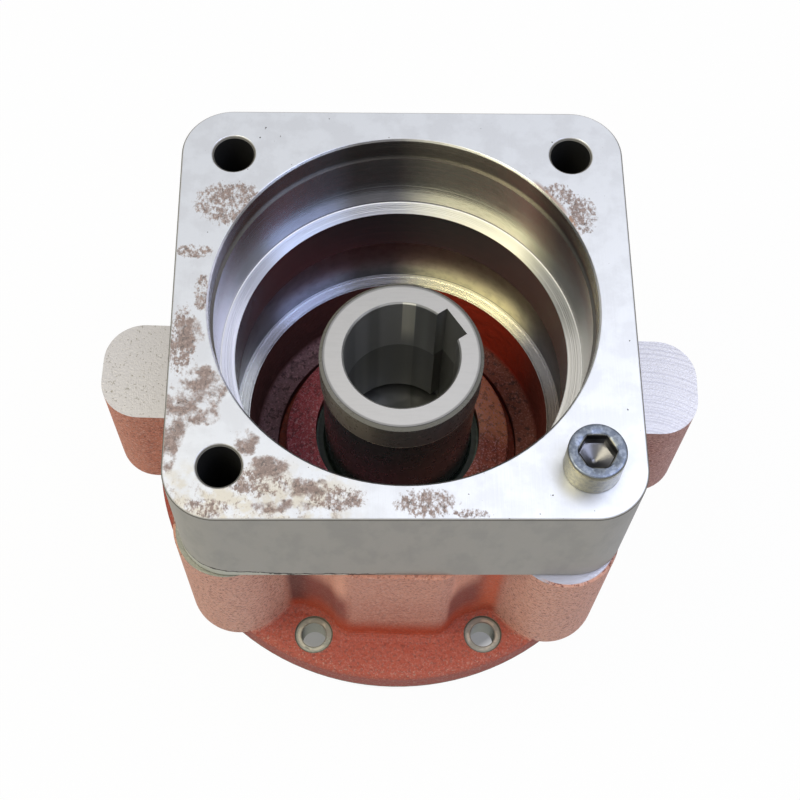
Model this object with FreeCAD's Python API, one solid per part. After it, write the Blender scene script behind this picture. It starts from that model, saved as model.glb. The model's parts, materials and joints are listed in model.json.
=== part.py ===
import FreeCAD, Part
import math
import os

from FreeCAD import Vector

# Bearing housing that an orbital hydraulic motor drives through: a square motor flange on a cast
# housing, round a hollow keyed shaft in two taper roller bearings. Millimetres. +Z points towards
# the motor, and the origin is on the shaft's axis in the plane of the mounting flange's seat.

# Motor flange
REGISTER_DIAMETER = 125.0
REGISTER_LENGTH = 10.0
REGISTER_CHAMFER = 0.7
REGISTER_RELIEF = 0.7
BLOCK_RIM = 11.5
BLOCK_THICKNESS = 52.0
BLOCK_CORNER_RADIUS = 17.0
BLOCK_EDGE_CHAMFER = 0.6
BLOCK_FOOT_CHAMFER = 0.8
MOTOR_BOLT_OFFSET = 17.5
MOTOR_HOLE_CLEARANCE = 0.75
MOTOR_HOLE_CHAMFER = 0.8
MOTOR_POCKET_DEPTH = 37.0
MOTOR_LEDGE = 5.6
BLOCK_SPIGOT_WALL = 3.3
BLOCK_SPIGOT_LENGTH = 5.0

# Cast housing, outside
HOUSING_WALL = 10.8
CORNER_BOSS_RADIUS = 18.0
CORNER_BOSS_FOOT = 6.5
CORNER_BOSS_ROUND = 7.0
EAR_HALF_WIDTH = 18.0
EAR_REACH = 104.4
EAR_CORNER_RADIUS = 14.0
EAR_FOOT = 18.0
EAR_ROUND = 8.0
PAD_HALF_WIDTH = 20.0
PAD_RISE = 2.5
RELIEF_RADIUS = 11.0
VALLEY_RADIUS = 8.0
PAD_EDGE_RADIUS = 8.5
FOOT_MARGIN = 0.5
CAST_TURN_DEG = -1.9
CAST_SHIFT_Y = -1.8
BODY_TOP = 77.0
FLANGE_ROOT_RADIUS = 3.0
FLANGE_ROOT_STEPS = 3

# Mounting flange, pilot and nose
FLANGE_RADIUS = 92.0
FLANGE_THICKNESS = 12.5
FLANGE_EDGE_RADIUS = 2.5
FLANGE_EDGE_CHAMFER = 0.8
FLANGE_BOLT_COUNT = 8
FLANGE_BOLT_INSET = 10.5
FLANGE_HOLE_DIAMETER = 9.0
SPOT_FACE_DIAMETER = 14.0
SPOT_FACE_DEPTH = 0.7
PILOT_STEP = 5.0
PILOT_LENGTH = 6.0
PILOT_CHAMFER = 1.0
NOSE_WALL = 12.5
NOSE_ROOT_RADIUS = 2.0

# Housing, inside
CHAMBER_FLOOR = 43.3
CHAMBER_LEDGE = 5.0
CAST_DRAFT = 0.8
CAST_FLOOR_LEVEL = 17.0
CAST_FLOOR_ROUND = 4.0
TRENCH_WIDTH = 2.8
TRENCH_OFFSET = 0.8
TRENCH_LEVEL = 11.0
HUB_WALL = 6.6
HUB_EDGE_LEVEL = 24.0
HUB_EDGE_ROUND = 1.2
HUB_TOP_LEVEL = 29.0
HUB_LAND = 2.3
HUB_SEAL_SHOULDER = 4.8
SEAL_BACK_ROOM = 2.0

# Tapped corner holes and the motor screw
SCREW_DIAMETER = 12.0
THREAD_GAP = 0.05
SCREW_ENGAGEMENT = 28.0
TAP_RUNOUT = 8.0
SCREW_HEAD_DIAMETER = 18.0
SCREW_HEAD_HEIGHT = 12.0
SCREW_HEAD_CHAMFER = 0.9
SCREW_SOCKET_ACROSS_FLATS = 10.0
SCREW_SOCKET_DEPTH = 6.0
SCREW_POINT_CHAMFER = 1.2

# Hollow shaft
SHAFT_TOP = 92.3
SHAFT_TOP_CHAMFER = 1.3
SHAFT_BAND_STEP = 0.9
SHAFT_BAND_LENGTH = 14.8
SEAL_SEAT_DIAMETER = 55.0
JOURNAL_RUN = 2.0
JOURNAL_STEP = 2.5
SHAFT_STEP_LENGTH = 3.0
BEARING_COLLAR_STEP = 3.5
BEARING_COLLAR_LENGTH = 6.0
SHAFT_END_CHAMFER = 1.0
INPUT_BORE_DIAMETER = 40.0
INPUT_BORE_CHAMFER = 0.6
INPUT_BORE_LAND = 31.0
INPUT_BORE_RELIEF = 0.4
INPUT_BORE_FLOOR = 22.5
KEYWAY_WIDTH = 12.0
KEYWAY_DEPTH = 3.3
KEYWAY_ANGLE_DEG = 34.0
UNDERCUT_WIDTH = 5.0
UNDERCUT_DEPTH = 3.8
SPLINE_TEETH = 18
SPLINE_MINOR_RADIUS = 18.0
SPLINE_DEPTH = 2.1
SPLINE_SPACE_AT_MINOR = 0.56
SPLINE_SPACE_AT_MAJOR = 0.38
SPLINE_LENGTH = 45.0
SPLINE_RELIEF_LENGTH = 8.0
SPLINE_RELIEF_DEPTH = 0.7
SPLINE_CHAMFER = 1.5

# Taper roller bearings, 60 x 95 x 23
BEARING_OUTER = 95.0
BEARING_WIDTH = 23.0
CUP_WIDTH = 17.5
CUP_WALL = 5.2
CONE_WALL = 4.0
ROLLER_ANGLE_DEG = 13.5
ROLLER_SPACING = 3.4
ROLLER_START = 2.4
ROLLER_LENGTH = 14.8
ROLLER_GAP = 0.03
CONE_FRONT_RIB = 1.4
CONE_BACK_RIB = 2.9
RIB_GAP = 0.15
RING_CHAMFER = 1.0
CAGE_GAP = 0.5
CAGE_THICKNESS = 1.4
CAGE_END = 1.6
CAGE_WINDOW_GAP = 0.2
RING_SEAT_GAP = 0.02
UPPER_CUP_SEAT = 3.0
CUP_SHOULDER_WIDTH = 6.5

# Shaft seals, 55 x 72 x 10
SEAL_SECTION = 8.5
SEAL_WIDTH = 10.0
SEAL_CASE_WALL = 1.2
SEAL_WINDOW = 2.9
SEAL_LIP_GAP = 0.05
SEAL_NECK = 1.2
SEAL_SPRING_SEAT = 2.9
SEAL_DUST_LIP = 0.9
SEAL_DUST_LEVEL = 0.6
SEAL_RUBBER_GRIP = 3.0
SEAL_CONE_LEVEL = 4.2
SEAL_LIP_END = 1.0
SEAL_LIP_EDGE = 2.6
SEAL_LIP_HEEL = 4.6
SEAL_SPRING_LEVEL = 3.0
SEAL_SPRING_WIRE = 1.8
INPUT_SEAL_TOP = 24.0
SEAL_SEAT_GAP = 0.02

# End cover, shims and screws
COVER_THICKNESS = 11.0
COVER_SPIGOT_LENGTH = 7.0
COVER_SPIGOT_GAP = 0.05
COVER_SEAL_INSET = 0.5
COVER_SEAL_SHOULDER = 4.5
COVER_CUP_LAND = 5.5
COVER_RECESS_DEPTH = 3.0
COVER_EDGE_CHAMFER = 0.8
SHIM_THICKNESS = 0.4
COVER_SCREW_COUNT = 6
COVER_SCREW_DIAMETER = 6.0
COVER_SCREW_LENGTH = 18.0
COVER_SCREW_HEAD_DIAMETER = 10.0
COVER_SCREW_HEAD_HEIGHT = 6.0
COVER_SCREW_SOCKET = 5.0
COVER_SCREW_SOCKET_DEPTH = 3.0
COVER_SCREW_CLEARANCE = 0.3
COVER_TAP_RUNOUT = 3.0
SHAFT_END_INSET = 1.5

# O-rings
O_RING_WIRE = 3.0
O_RING_GAP = 0.03
GROOVE_ROOM = 1.0
FLANGE_O_RING_OFFSET = 5.6

SPIGOT_GAP = 0.05
OVERRUN = 1.0

# Radii and levels that follow from the sizes above, from the motor's side inwards
REGISTER_RADIUS = REGISTER_DIAMETER / 2
BLOCK_HALF = REGISTER_RADIUS + BLOCK_RIM
BLOCK_BORE_RADIUS = REGISTER_RADIUS - MOTOR_LEDGE
CHAMBER_RADIUS = BLOCK_BORE_RADIUS + BLOCK_SPIGOT_WALL
WALL_RADIUS = CHAMBER_RADIUS + HOUSING_WALL
PAD_REACH = WALL_RADIUS + PAD_RISE
FLANGE_O_RING_RADIUS = CHAMBER_RADIUS + FLANGE_O_RING_OFFSET
GROOVE_WIDTH = O_RING_WIRE + GROOVE_ROOM
MOTOR_HOLE_RADIUS = SCREW_DIAMETER / 2 + MOTOR_HOLE_CLEARANCE
HALF_SPACING = (REGISTER_RADIUS + MOTOR_BOLT_OFFSET) / math.sqrt(2)
MOTOR_HOLES = [(HALF_SPACING * sx, HALF_SPACING * sy) for sx in (-1, 1) for sy in (-1, 1)]
SCREW_PLACE = (HALF_SPACING, -HALF_SPACING)
BLOCK_TOP = BODY_TOP + BLOCK_THICKNESS
POCKET_FLOOR = BLOCK_TOP - MOTOR_POCKET_DEPTH
FLANGE_BOLT_RADIUS = FLANGE_RADIUS - FLANGE_BOLT_INSET

# Shaft, seals and hub
JOURNAL_RADIUS = SEAL_SEAT_DIAMETER / 2
CONE_SEAT_RADIUS = JOURNAL_RADIUS + JOURNAL_STEP
SEAL_RADIUS = JOURNAL_RADIUS + SEAL_SECTION
HUB_OPENING_RADIUS = SEAL_RADIUS - HUB_SEAL_SHOULDER
HUB_LAND_RADIUS = HUB_OPENING_RADIUS + HUB_LAND
HUB_RADIUS = SEAL_RADIUS + HUB_WALL
TRENCH_INNER_RADIUS = HUB_RADIUS + TRENCH_OFFSET
TRENCH_OUTER_RADIUS = TRENCH_INNER_RADIUS + TRENCH_WIDTH
CAST_BORE_RADIUS = CHAMBER_RADIUS - CHAMBER_LEDGE
CAST_FLOOR_RADIUS = CAST_BORE_RADIUS - CAST_DRAFT
INPUT_SEAL_FOOT = INPUT_SEAL_TOP - SEAL_WIDTH
SHAFT_STEP_LEVEL = INPUT_SEAL_FOOT - JOURNAL_RUN
INPUT_BORE_RADIUS = INPUT_BORE_DIAMETER / 2
SPLINE_MAJOR_RADIUS = SPLINE_MINOR_RADIUS + SPLINE_DEPTH

# Bearings, nose and end cover
CUP_RADIUS = BEARING_OUTER / 2
NOSE_RADIUS = CUP_RADIUS + NOSE_WALL
PILOT_RADIUS = NOSE_RADIUS + PILOT_STEP
COVER_SCREW_RADIUS = (CUP_RADIUS + NOSE_RADIUS) / 2
COLLAR_TOP = UPPER_CUP_SEAT - BEARING_WIDTH
COLLAR_FOOT = COLLAR_TOP - BEARING_COLLAR_LENGTH
LOWER_CUP_SEAT = COLLAR_FOOT - BEARING_WIDTH
NOSE_FOOT = LOWER_CUP_SEAT - COVER_SPIGOT_LENGTH
COVER_TOP = NOSE_FOOT - SHIM_THICKNESS
COVER_FOOT = COVER_TOP - COVER_THICKNESS
SHAFT_FOOT = COVER_FOOT + SHAFT_END_INSET
OUTPUT_SEAL_FACE = COVER_FOOT + COVER_SEAL_INSET
COVER_SCREW_SEAT = COVER_FOOT + COVER_SCREW_HEAD_HEIGHT + COVER_SCREW_CLEARANCE

# Rollers: their middle lies halfway between the raceways, and all axes meet at the apex
ROLLER_ANGLE = math.radians(ROLLER_ANGLE_DEG)
TRACK_GAP = CUP_RADIUS - CUP_WALL - CONE_SEAT_RADIUS - CONE_WALL
ROLLER_MIDDLE_RADIUS = CONE_SEAT_RADIUS + CONE_WALL + TRACK_GAP / 2
ROLLER_SIZE = TRACK_GAP / 2 / math.cos(ROLLER_ANGLE)
ROLLER_REACH = ROLLER_MIDDLE_RADIUS / math.sin(ROLLER_ANGLE)
ROLLER_HALF_TAPER = math.atan(ROLLER_SIZE / ROLLER_REACH)
ROLLER_MIDDLE_DEPTH = ROLLER_START + ROLLER_LENGTH / 2 * math.cos(ROLLER_ANGLE)
BEARING_APEX = ROLLER_REACH * math.cos(ROLLER_ANGLE) - ROLLER_MIDDLE_DEPTH
CUP_TAN = math.tan(ROLLER_ANGLE + ROLLER_HALF_TAPER)
CONE_TAN = math.tan(ROLLER_ANGLE - ROLLER_HALF_TAPER)
ROLLER_COUNT = math.floor(2 * math.pi * ROLLER_MIDDLE_RADIUS / (2 * ROLLER_SIZE + ROLLER_SPACING))


def at(r, z):
    return Vector(r, 0, z)


def section(corners):
    """Closed face in the XZ plane. A corner is (radius, height) or (radius, height, rounding)."""
    spots = [at(corner[0], corner[1]) for corner in corners]
    ends = []
    edges = []
    for i, corner in enumerate(corners):
        here = spots[i]
        if len(corner) == 2:
            ends.append((here, here))
            continue
        rounding = corner[2]
        back = (spots[i - 1] - here).normalize()
        ahead = (spots[(i + 1) % len(spots)] - here).normalize()
        half_turn = back.getAngle(ahead) / 2
        reach = rounding / math.tan(half_turn)
        inward = (back + ahead).normalize()
        middle = here + inward * (rounding / math.sin(half_turn) - rounding)
        start = here + back * reach
        end = here + ahead * reach
        ends.append((start, end))
        edges.append(Part.Arc(start, middle, end).toShape())
    for i, (start, _) in enumerate(ends):
        edges.append(Part.makeLine(ends[i - 1][1], start))
    return Part.Face(Part.Wire(Part.__sortEdges__(edges)))


def turned(corners):
    return section(corners).revolve(Vector(0, 0, 0), Vector(0, 0, 1), 360)


def cylinder(radius, low, high, x=0.0, y=0.0):
    return Part.makeCylinder(radius, high - low, Vector(x, y, low))


def tube(outer, inner, low, high):
    return cylinder(outer, low, high).cut(cylinder(inner, low, high))


def block(half_x, half_y, low, high):
    return Part.makeBox(2 * half_x, 2 * half_y, high - low, Vector(-half_x, -half_y, low))


def upright_edges(solid):
    """Straight edges along Z."""
    found = []
    for edge in solid.Edges:
        first = edge.Vertexes[0].Point
        last = edge.Vertexes[-1].Point
        if abs(first.x - last.x) + abs(first.y - last.y) < 1e-6 and first.z != last.z:
            found.append(edge)
    return found


def level_edges(solid, level):
    """Edges that lie wholly at one height."""
    found = []
    for edge in solid.Edges:
        box = edge.BoundBox
        if abs(box.ZMin - level) < 1e-5 and abs(box.ZMax - level) < 1e-5:
            found.append(edge)
    return found


def around(count, radius, first_deg=0.0):
    angles = [math.radians(first_deg + 360.0 * i / count) for i in range(count)]
    return [(radius * math.cos(a), radius * math.sin(a)) for a in angles]


def chamfered_hole(radius, chamfer, low, high, x, y):
    """Cutter for a through hole with a chamfer at its upper end."""
    mouth = Part.makeCone(radius, radius + chamfer + OVERRUN, chamfer + OVERRUN, Vector(x, y, high - chamfer))
    return cylinder(radius, low - OVERRUN, high + OVERRUN, x, y).fuse(mouth)


def hexagon(across_flats, low, high, x, y):
    corner = across_flats / math.sqrt(3)
    points = [Vector(x + px, y + py, low) for px, py in around(6, corner)]
    return Part.Face(Part.makePolygon(points + points[:1])).extrude(Vector(0, 0, high - low))


def motor_flange():
    """Square block with the motor's register, stepped bore, bolt holes and a locating spigot."""
    body = block(BLOCK_HALF, BLOCK_HALF, BODY_TOP, BLOCK_TOP)
    body = body.makeFillet(BLOCK_CORNER_RADIUS, upright_edges(body))
    body = body.makeChamfer(BLOCK_EDGE_CHAMFER, level_edges(body, BLOCK_TOP))
    body = body.makeChamfer(BLOCK_FOOT_CHAMFER, level_edges(body, BODY_TOP))
    spigot_radius = CHAMBER_RADIUS - SPIGOT_GAP
    body = body.fuse(cylinder(spigot_radius, BODY_TOP - BLOCK_SPIGOT_LENGTH, BODY_TOP + OVERRUN))
    register = REGISTER_RADIUS
    relieved = register - REGISTER_RELIEF
    bore = BLOCK_BORE_RADIUS
    low = BODY_TOP - BLOCK_SPIGOT_LENGTH - OVERRUN
    body = body.cut(turned([
        (0, low),
        (bore, low),
        (bore, POCKET_FLOOR),
        (relieved, POCKET_FLOOR),
        (relieved, BLOCK_TOP - REGISTER_LENGTH),
        (register, BLOCK_TOP - REGISTER_LENGTH),
        (register, BLOCK_TOP - REGISTER_CHAMFER),
        (register + REGISTER_CHAMFER, BLOCK_TOP),
        (register + REGISTER_CHAMFER, BLOCK_TOP + OVERRUN),
        (0, BLOCK_TOP + OVERRUN),
    ]))
    for x, y in MOTOR_HOLES:
        body = body.cut(chamfered_hole(MOTOR_HOLE_RADIUS, MOTOR_HOLE_CHAMFER, BODY_TOP, BLOCK_TOP, x, y))
    groove = O_RING_WIRE + O_RING_GAP
    inner = FLANGE_O_RING_RADIUS - GROOVE_WIDTH / 2
    outer = FLANGE_O_RING_RADIUS + GROOVE_WIDTH / 2
    return body.cut(tube(outer, inner, BODY_TOP, BODY_TOP + groove)).removeSplitter()


def flange_o_ring():
    wire = O_RING_WIRE / 2
    return Part.makeTorus(FLANGE_O_RING_RADIUS, wire, Vector(0, 0, BODY_TOP + wire + O_RING_GAP / 2))


def motor_screw():
    """Socket head cap screw through the motor flange's front right hole."""
    x, y = SCREW_PLACE
    radius = SCREW_DIAMETER / 2
    head = SCREW_HEAD_DIAMETER / 2
    top = BLOCK_TOP + SCREW_HEAD_HEIGHT
    foot = BODY_TOP - SCREW_ENGAGEMENT
    screw = turned([
        (0, foot),
        (radius - SCREW_POINT_CHAMFER, foot),
        (radius, foot + SCREW_POINT_CHAMFER),
        (radius, BLOCK_TOP),
        (head, BLOCK_TOP),
        (head, top - SCREW_HEAD_CHAMFER),
        (head - SCREW_HEAD_CHAMFER, top),
        (0, top),
    ])
    screw.translate(Vector(x, y, 0))
    socket_floor = top - SCREW_SOCKET_DEPTH
    flat = SCREW_SOCKET_ACROSS_FLATS / 2
    socket = hexagon(SCREW_SOCKET_ACROSS_FLATS, socket_floor, top + OVERRUN, x, y)
    drill_point = Part.makeCone(0, flat, flat / 2, Vector(x, y, socket_floor - flat / 2))
    lead_in = Part.makeCone(flat, flat + 2 * OVERRUN, 2 * OVERRUN, Vector(x, y, top - OVERRUN))
    return screw.cut(socket).cut(drill_point).cut(lead_in)


def flange_bolts():
    return around(FLANGE_BOLT_COUNT, FLANGE_BOLT_RADIUS, 180.0 / FLANGE_BOLT_COUNT)


def cover_screws():
    return around(COVER_SCREW_COUNT, COVER_SCREW_RADIUS)


def rounded_outline(solid, level):
    """Outline of a prism at a level, with its inner and outer corners rounded."""
    wire = solid.removeSplitter().slice(Vector(0, 0, 1), level)[0]
    face = Part.Face(wire)
    for radius in (VALLEY_RADIUS, -VALLEY_RADIUS, -PAD_EDGE_RADIUS, PAD_EDGE_RADIUS):
        face = face.makeOffset2D(radius)
    return face


def cast_outline(with_ears, level):
    """Plan of the casting at a level, as the foundry left it: a little turned and shifted off the bores."""
    thin = 1.0
    outline = cylinder(WALL_RADIUS, 0, thin)
    for x, y in MOTOR_HOLES:
        outline = outline.fuse(cylinder(CORNER_BOSS_RADIUS, 0, thin, x, y))
    for angle in (45, 135):
        arm = block(math.hypot(HALF_SPACING, HALF_SPACING), CORNER_BOSS_RADIUS, 0, thin)
        arm.rotate(Vector(0, 0, 0), Vector(0, 0, 1), angle)
        outline = outline.fuse(arm)
    outline = outline.fuse(block(PAD_HALF_WIDTH, PAD_REACH, 0, thin))
    if with_ears:
        ears = block(EAR_REACH, EAR_HALF_WIDTH, 0, thin)
        outline = outline.fuse(ears.makeFillet(EAR_CORNER_RADIUS, upright_edges(ears)))
    for x, y in flange_bolts():
        outline = outline.cut(cylinder(RELIEF_RADIUS, -OVERRUN, thin + OVERRUN, x, y))
    face = rounded_outline(outline, thin / 2)
    face.translate(Vector(0, CAST_SHIFT_Y, level - face.BoundBox.ZMin))
    face.rotate(Vector(0, CAST_SHIFT_Y, 0), Vector(0, 0, 1), CAST_TURN_DEG)
    return face


def cast_prism(with_ears, low, foot_round):
    """Upright walls from a low level to the machined top, with a rounded foot."""
    prism = cast_outline(with_ears, low).extrude(Vector(0, 0, BODY_TOP - low))
    widest = PAD_EDGE_RADIUS - FOOT_MARGIN
    return prism.makeFillet(min(foot_round, widest), level_edges(prism, low))


def cast_root():
    """Flare where the walls meet the round flange, in steps that follow a quarter round."""
    plan = cast_outline(False, FLANGE_THICKNESS)
    wires = []
    for step in range(FLANGE_ROOT_STEPS, -1, -1):
        angle = math.pi / 2 * step / FLANGE_ROOT_STEPS
        spread = FLANGE_ROOT_RADIUS * (1 - math.cos(angle))
        rise = FLANGE_ROOT_RADIUS * (1 - math.sin(angle))
        wire = plan.makeOffset2D(spread).OuterWire if spread > 0 else plan.OuterWire
        wires.append(wire.translated(Vector(0, 0, rise)))
    flare = Part.makeLoft(wires, True, True)
    return flare.common(cylinder(FLANGE_RADIUS, 0, BODY_TOP))


def casting():
    """Bosses, ears, pads and reliefs over the round mounting flange, pilot and nose."""
    body = cast_prism(False, CORNER_BOSS_FOOT, CORNER_BOSS_ROUND)
    body = body.fuse(cast_prism(True, EAR_FOOT, EAR_ROUND))
    body = body.fuse(cast_root())
    body = body.fuse(turned([
        (0, 0),
        (FLANGE_RADIUS - FLANGE_EDGE_CHAMFER, 0),
        (FLANGE_RADIUS, FLANGE_EDGE_CHAMFER),
        (FLANGE_RADIUS, FLANGE_THICKNESS, FLANGE_EDGE_RADIUS),
        (0, FLANGE_THICKNESS),
    ]))
    return body.fuse(turned([
        (0, OVERRUN),
        (PILOT_RADIUS, OVERRUN),
        (PILOT_RADIUS, PILOT_CHAMFER - PILOT_LENGTH),
        (PILOT_RADIUS - PILOT_CHAMFER, -PILOT_LENGTH),
        (NOSE_RADIUS, -PILOT_LENGTH, NOSE_ROOT_RADIUS),
        (NOSE_RADIUS, NOSE_FOOT),
        (0, NOSE_FOOT),
    ]))


def chamber():
    """Cutter for the stepped bores, the cast interior round the hub, the seal seat and the cup seats."""
    floor_round = min(CAST_FLOOR_ROUND, (CAST_FLOOR_RADIUS - TRENCH_OUTER_RADIUS) / 2)
    cup_shoulder = CUP_RADIUS - CUP_SHOULDER_WIDTH
    seal_back = INPUT_SEAL_FOOT - SEAL_BACK_ROOM
    return turned([
        (0, BODY_TOP + OVERRUN),
        (CHAMBER_RADIUS, BODY_TOP + OVERRUN),
        (CHAMBER_RADIUS, CHAMBER_FLOOR),
        (CAST_BORE_RADIUS, CHAMBER_FLOOR),
        (CAST_FLOOR_RADIUS, CAST_FLOOR_LEVEL, floor_round),
        (TRENCH_OUTER_RADIUS, CAST_FLOOR_LEVEL),
        (TRENCH_OUTER_RADIUS, TRENCH_LEVEL),
        (TRENCH_INNER_RADIUS, TRENCH_LEVEL),
        (HUB_RADIUS, HUB_EDGE_LEVEL, HUB_EDGE_ROUND),
        (HUB_LAND_RADIUS, HUB_TOP_LEVEL),
        (HUB_OPENING_RADIUS, HUB_TOP_LEVEL),
        (HUB_OPENING_RADIUS, INPUT_SEAL_TOP),
        (SEAL_RADIUS, INPUT_SEAL_TOP),
        (SEAL_RADIUS, seal_back),
        (cup_shoulder, seal_back),
        (cup_shoulder, UPPER_CUP_SEAT),
        (CUP_RADIUS, UPPER_CUP_SEAT),
        (CUP_RADIUS, NOSE_FOOT - OVERRUN),
        (0, NOSE_FOOT - OVERRUN),
    ])


def housing():
    body = casting().cut(chamber())
    tapped = SCREW_DIAMETER / 2 + THREAD_GAP
    tap_foot = BODY_TOP - SCREW_ENGAGEMENT - TAP_RUNOUT
    for x, y in MOTOR_HOLES:
        body = body.cut(cylinder(tapped, tap_foot, BODY_TOP + OVERRUN, x, y))
    spot_floor = FLANGE_THICKNESS - SPOT_FACE_DEPTH
    for x, y in flange_bolts():
        body = body.cut(cylinder(FLANGE_HOLE_DIAMETER / 2, -OVERRUN, FLANGE_THICKNESS + OVERRUN, x, y))
        body = body.cut(cylinder(SPOT_FACE_DIAMETER / 2, spot_floor, FLANGE_THICKNESS + OVERRUN, x, y))
    cover_tapped = COVER_SCREW_DIAMETER / 2 + THREAD_GAP
    cover_tap_top = COVER_SCREW_SEAT + COVER_SCREW_LENGTH + COVER_TAP_RUNOUT
    for x, y in cover_screws():
        body = body.cut(cylinder(cover_tapped, NOSE_FOOT - OVERRUN, cover_tap_top, x, y))
    return body.removeSplitter()


def drive_shaft():
    """Hollow shaft: keyed bore from above, splined bore from below, seats for two cones and two seals."""
    journal = JOURNAL_RADIUS
    band = journal + SHAFT_BAND_STEP
    cone_seat = CONE_SEAT_RADIUS
    collar = cone_seat + BEARING_COLLAR_STEP
    shaft = turned([
        (0, SHAFT_TOP),
        (band - SHAFT_TOP_CHAMFER, SHAFT_TOP),
        (band, SHAFT_TOP - SHAFT_TOP_CHAMFER),
        (band, SHAFT_TOP - SHAFT_BAND_LENGTH),
        (journal, SHAFT_TOP - SHAFT_BAND_LENGTH),
        (journal, SHAFT_STEP_LEVEL),
        (cone_seat, SHAFT_STEP_LEVEL - SHAFT_STEP_LENGTH),
        (cone_seat, COLLAR_TOP),
        (collar, COLLAR_TOP),
        (collar, COLLAR_FOOT),
        (cone_seat, COLLAR_FOOT),
        (cone_seat, LOWER_CUP_SEAT),
        (journal, LOWER_CUP_SEAT - SHAFT_STEP_LENGTH),
        (journal, SHAFT_FOOT + SHAFT_END_CHAMFER),
        (journal - SHAFT_END_CHAMFER, SHAFT_FOOT),
        (0, SHAFT_FOOT),
    ])
    return shaft.cut(input_bore()).cut(keyway()).cut(output_spline())


def input_bore():
    land = INPUT_BORE_RADIUS
    relieved = land + INPUT_BORE_RELIEF
    undercut = land + UNDERCUT_DEPTH
    land_foot = SHAFT_TOP - INPUT_BORE_LAND
    return turned([
        (0, SHAFT_TOP + OVERRUN),
        (land + INPUT_BORE_CHAMFER, SHAFT_TOP + OVERRUN),
        (land + INPUT_BORE_CHAMFER, SHAFT_TOP),
        (land, SHAFT_TOP - INPUT_BORE_CHAMFER),
        (land, land_foot),
        (relieved, land_foot),
        (relieved, INPUT_BORE_FLOOR + UNDERCUT_WIDTH),
        (undercut, INPUT_BORE_FLOOR + UNDERCUT_WIDTH),
        (undercut, INPUT_BORE_FLOOR),
        (0, INPUT_BORE_FLOOR),
    ])


def keyway():
    low = INPUT_BORE_FLOOR + UNDERCUT_WIDTH / 2
    slot = Part.makeBox(INPUT_BORE_RADIUS + KEYWAY_DEPTH, KEYWAY_WIDTH, SHAFT_TOP + OVERRUN - low)
    slot.translate(Vector(0, -KEYWAY_WIDTH / 2, low))
    slot.rotate(Vector(0, 0, 0), Vector(0, 0, 1), KEYWAY_ANGLE_DEG)
    return slot


def output_spline():
    """Cutter for the female spline, with a relief above it and a chamfer at its mouth."""
    top = SHAFT_FOOT + SPLINE_LENGTH
    low = SHAFT_FOOT - OVERRUN
    relief = SPLINE_MAJOR_RADIUS + SPLINE_RELIEF_DEPTH
    bore = turned([
        (0, top + SPLINE_RELIEF_LENGTH),
        (relief, top + SPLINE_RELIEF_LENGTH),
        (relief, top),
        (SPLINE_MINOR_RADIUS, top),
        (SPLINE_MINOR_RADIUS, SHAFT_FOOT + SPLINE_CHAMFER),
        (SPLINE_MAJOR_RADIUS, SHAFT_FOOT),
        (SPLINE_MAJOR_RADIUS, low),
        (0, low),
    ])
    half_pitch = math.pi / SPLINE_TEETH
    inner = SPLINE_MINOR_RADIUS - OVERRUN
    wide = half_pitch * SPLINE_SPACE_AT_MINOR
    narrow = half_pitch * SPLINE_SPACE_AT_MAJOR
    corners = [
        Vector(inner, -inner * math.tan(wide), low),
        Vector(SPLINE_MAJOR_RADIUS, -SPLINE_MAJOR_RADIUS * math.tan(narrow), low),
        Vector(SPLINE_MAJOR_RADIUS, SPLINE_MAJOR_RADIUS * math.tan(narrow), low),
        Vector(inner, inner * math.tan(wide), low),
    ]
    space = Part.Face(Part.makePolygon(corners + corners[:1])).extrude(Vector(0, 0, top - low))
    spaces = []
    for i in range(SPLINE_TEETH):
        copy = space.copy()
        copy.rotate(Vector(0, 0, 0), Vector(0, 0, 1), 360.0 * i / SPLINE_TEETH)
        spaces.append(copy)
    return bore.fuse(spaces).removeSplitter()


def raceway(tangent, depth):
    """Radius of a conical raceway at a depth below the cup's back face."""
    return (BEARING_APEX + depth) * tangent


def bearing_cup():
    outer = CUP_RADIUS - RING_SEAT_GAP
    return turned([
        (raceway(CUP_TAN, 0), 0),
        (outer - RING_CHAMFER, 0),
        (outer, -RING_CHAMFER),
        (outer, -CUP_WIDTH),
        (raceway(CUP_TAN, CUP_WIDTH), -CUP_WIDTH),
    ])


def roller_point(distance, across):
    """Radius and height of a point across the roller's axis at a distance from the apex."""
    r = distance * math.sin(ROLLER_ANGLE) + across * math.cos(ROLLER_ANGLE)
    z = BEARING_APEX - distance * math.cos(ROLLER_ANGLE) + across * math.sin(ROLLER_ANGLE)
    return r, z


def roller_radius(distance):
    return distance * math.tan(ROLLER_HALF_TAPER) - ROLLER_GAP


def roller_span():
    start = ROLLER_REACH - ROLLER_LENGTH / 2
    return start, start + ROLLER_LENGTH


def roller_shape(grow_radius=0.0, grow_end=0.0):
    """One tapered roller in the XZ plane, or the larger cutter for its window."""
    start, end = roller_span()
    start -= grow_end
    end += grow_end
    direction = Vector(math.sin(ROLLER_ANGLE), 0, -math.cos(ROLLER_ANGLE))
    small = roller_radius(start) + grow_radius
    large = roller_radius(end) + grow_radius
    return Part.makeCone(small, large, end - start, at(*roller_point(start, 0)), direction)


def ring_of(shape):
    copies = []
    for i in range(ROLLER_COUNT):
        copy = shape.copy()
        copy.rotate(Vector(0, 0, 0), Vector(0, 0, 1), 360.0 * i / ROLLER_COUNT)
        copies.append(copy)
    return copies


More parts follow.
